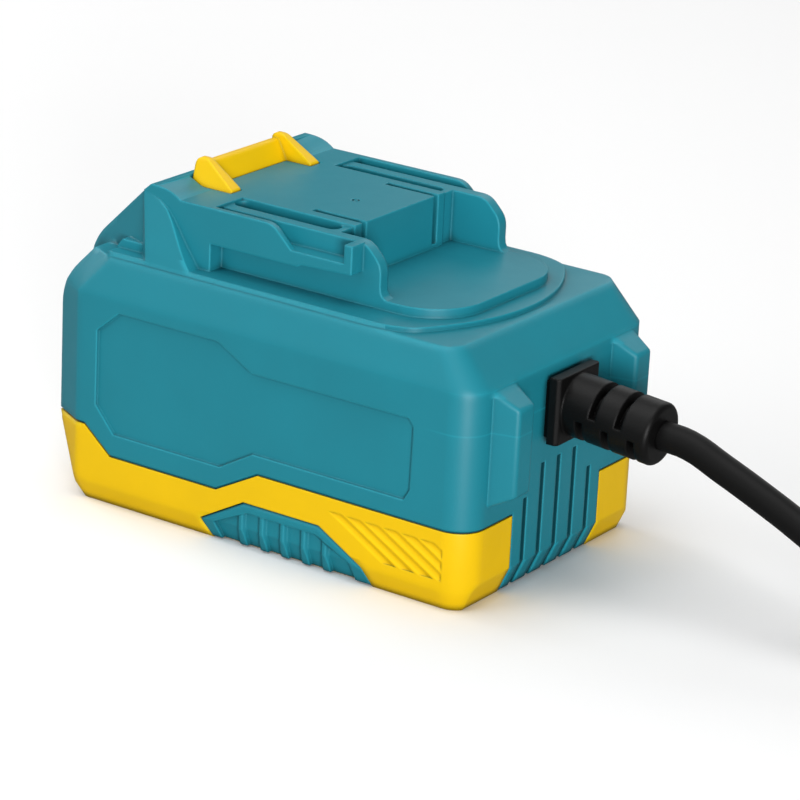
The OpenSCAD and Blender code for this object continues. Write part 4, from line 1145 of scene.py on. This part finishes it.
LEADS = {
    node: Moulding(name, colour, roughness=0.36, grain=3000.0, edge=0.0003)
    for node, name, colour in (
        ("live_lead", "lead_brown", srgb(108, 58, 34)),
        ("neutral_lead", "lead_blue", srgb(44, 86, 168)),
        ("positive_lead", "lead_red", srgb(182, 40, 32)),
        ("negative_lead", "lead_black", srgb(30, 32, 35)),
    )
}

DRESSING: tuple[tuple[Finish, tuple[str, ...]], ...] = (
    (TEAL, ("upper_shell",)),
    (GRIP, ("grip_left", "grip_right")),
    (YELLOW, ("lower_shell",)),
    (HOOK, ("release_latch",)),
    (BUSHING, ("strain_relief", "plug_body")),
    (STRAP, ("coil_tie",)),
    (EPOXY, ("terminal_block", "bridge_rectifier")),
    (FERRITE, ("transformer_core",)),
    (FILM, ("x_capacitor",)),
    (STEEL, ("shell_screws", "latch_spring", "board_screws")),
    (NICKEL, ("plug_pins",)),
    (BRASS, ("positive_contact", "negative_contact")),
    (SINK, ("heatsink",)),
    (BOARD, ("circuit_board",)),
    (COPPER, ("transformer_winding",)),
    (CHOKE, ("filter_choke",)),
    (BULK_CAN, ("bulk_capacitor",)),
    (OUTPUT_CAN, ("output_capacitors",)),
    (FUSE, ("input_fuse",)),
    (DEVICE, ("switching_transistor", "output_diode")),
    *((finish, (node,)) for node, finish in LEADS.items()),
)


class Wardrobe:
    """Makes each finish once and puts it on the pieces that wear it."""

    def __init__(self) -> None:
        """Build the shared effects."""
        self.effects = Effects()
        self.made: dict[str, bpy.types.Material] = {}

    def get(self, finish: Finish) -> bpy.types.Material:
        """Material of a finish."""
        if finish.name not in self.made:
            self.made[finish.name] = finish.material(self.effects)
        return self.made[finish.name]

    def dress(self, frame: dict) -> None:
        """Put every finish on its CAD nodes.
        """
        for finish, nodes in DRESSING:
            for node in nodes:
                piece = frame["nodes"][node]
                for slot in piece.material_slots:
                    slot.material = self.get(finish)
                LOG.info("%s wears %s", node, finish.name)


# Studio


@dataclass(frozen=True)
class SoftLight:
    """Square studio light that looks at the object."""

    name: str
    place: Point
    size: float
    power: float
    look: Point = (0.0, 0.0, 0.03)

    def build(self) -> bpy.types.Object:
        """Make the light.

        Returns:
            The light object.
        """
        data = bpy.data.lights.new(self.name, "AREA")
        data.shape = "SQUARE"
        data.size = self.size
        data.energy = self.power
        light = bpy.data.objects.new(self.name, data)
        light.location = self.place
        light.rotation_euler = (Vector(self.look) - Vector(self.place)).to_track_quat("-Z", "Y").to_euler()
        bpy.context.collection.objects.link(light)
        return light


@dataclass(frozen=True)
class Studio:
    """Pale table, soft lights and bright surroundings."""

    floor_half: float = 4.0
    surround: float = 0.09
    lights: tuple[SoftLight, ...] = (
        SoftLight("key", (1.3, -1.3, 0.25), 0.6, 35.5),
        SoftLight("left", (-0.9, -1.3, 0.9), 1.0, 5.6),
        SoftLight("overhead", (-0.1, -0.2, 1.5), 1.4, 16.4),
        SoftLight("far_left", (-1.5, 0.1, 0.9), 0.9, 9.6),
        SoftLight("behind", (-0.3, 1.5, 0.9), 1.2, 5.8),
    )

    def build(self, table_top: bpy.types.Material) -> None:
        """Make the table, the surroundings and the lights.

        Args:
            table_top: Material of the table.
        """
        shape = bmesh.new()
        bmesh.ops.create_grid(shape, x_segments=1, y_segments=1, size=self.floor_half)
        table = settle(shape, "table", table_top)
        world = bpy.data.worlds.new("studio")
        world.use_nodes = True
        graph = Graph(world.node_tree)
        around = graph.add("ShaderNodeBackground", {"Color": (1.0, 1.0, 1.0, 1.0), "Strength": self.surround})
        graph.add("ShaderNodeOutputWorld", {"Surface": around.outputs["Background"]})
        bpy.context.scene.world = world
        bpy.context.scene.view_settings.view_transform = "Standard"
        for light in self.lights:
            LOG.info("%s light set", light.build().name)


def main() -> None:
    """Load the frame, show its pieces and set up the studio round them."""
    logging.basicConfig(level=logging.INFO, format="%(name)s: %(message)s")
    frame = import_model()
    PhotoCamera().build()
    wardrobe = Wardrobe()
    MainsCord().build(frame, wardrobe.get(JACKET))
    LatchSpring().build(wardrobe.get(STEEL))
    UpperHousing().build(frame, wardrobe.get(TEAL))
    LowerTray().build(frame, wardrobe.get(YELLOW))
    for grip in GRIPS:
        grip.build(frame, wardrobe.get(GRIP))
    wardrobe.dress(frame)
    Studio().build(wardrobe.get(TABLE))


if __name__ == "__main__":
    main()
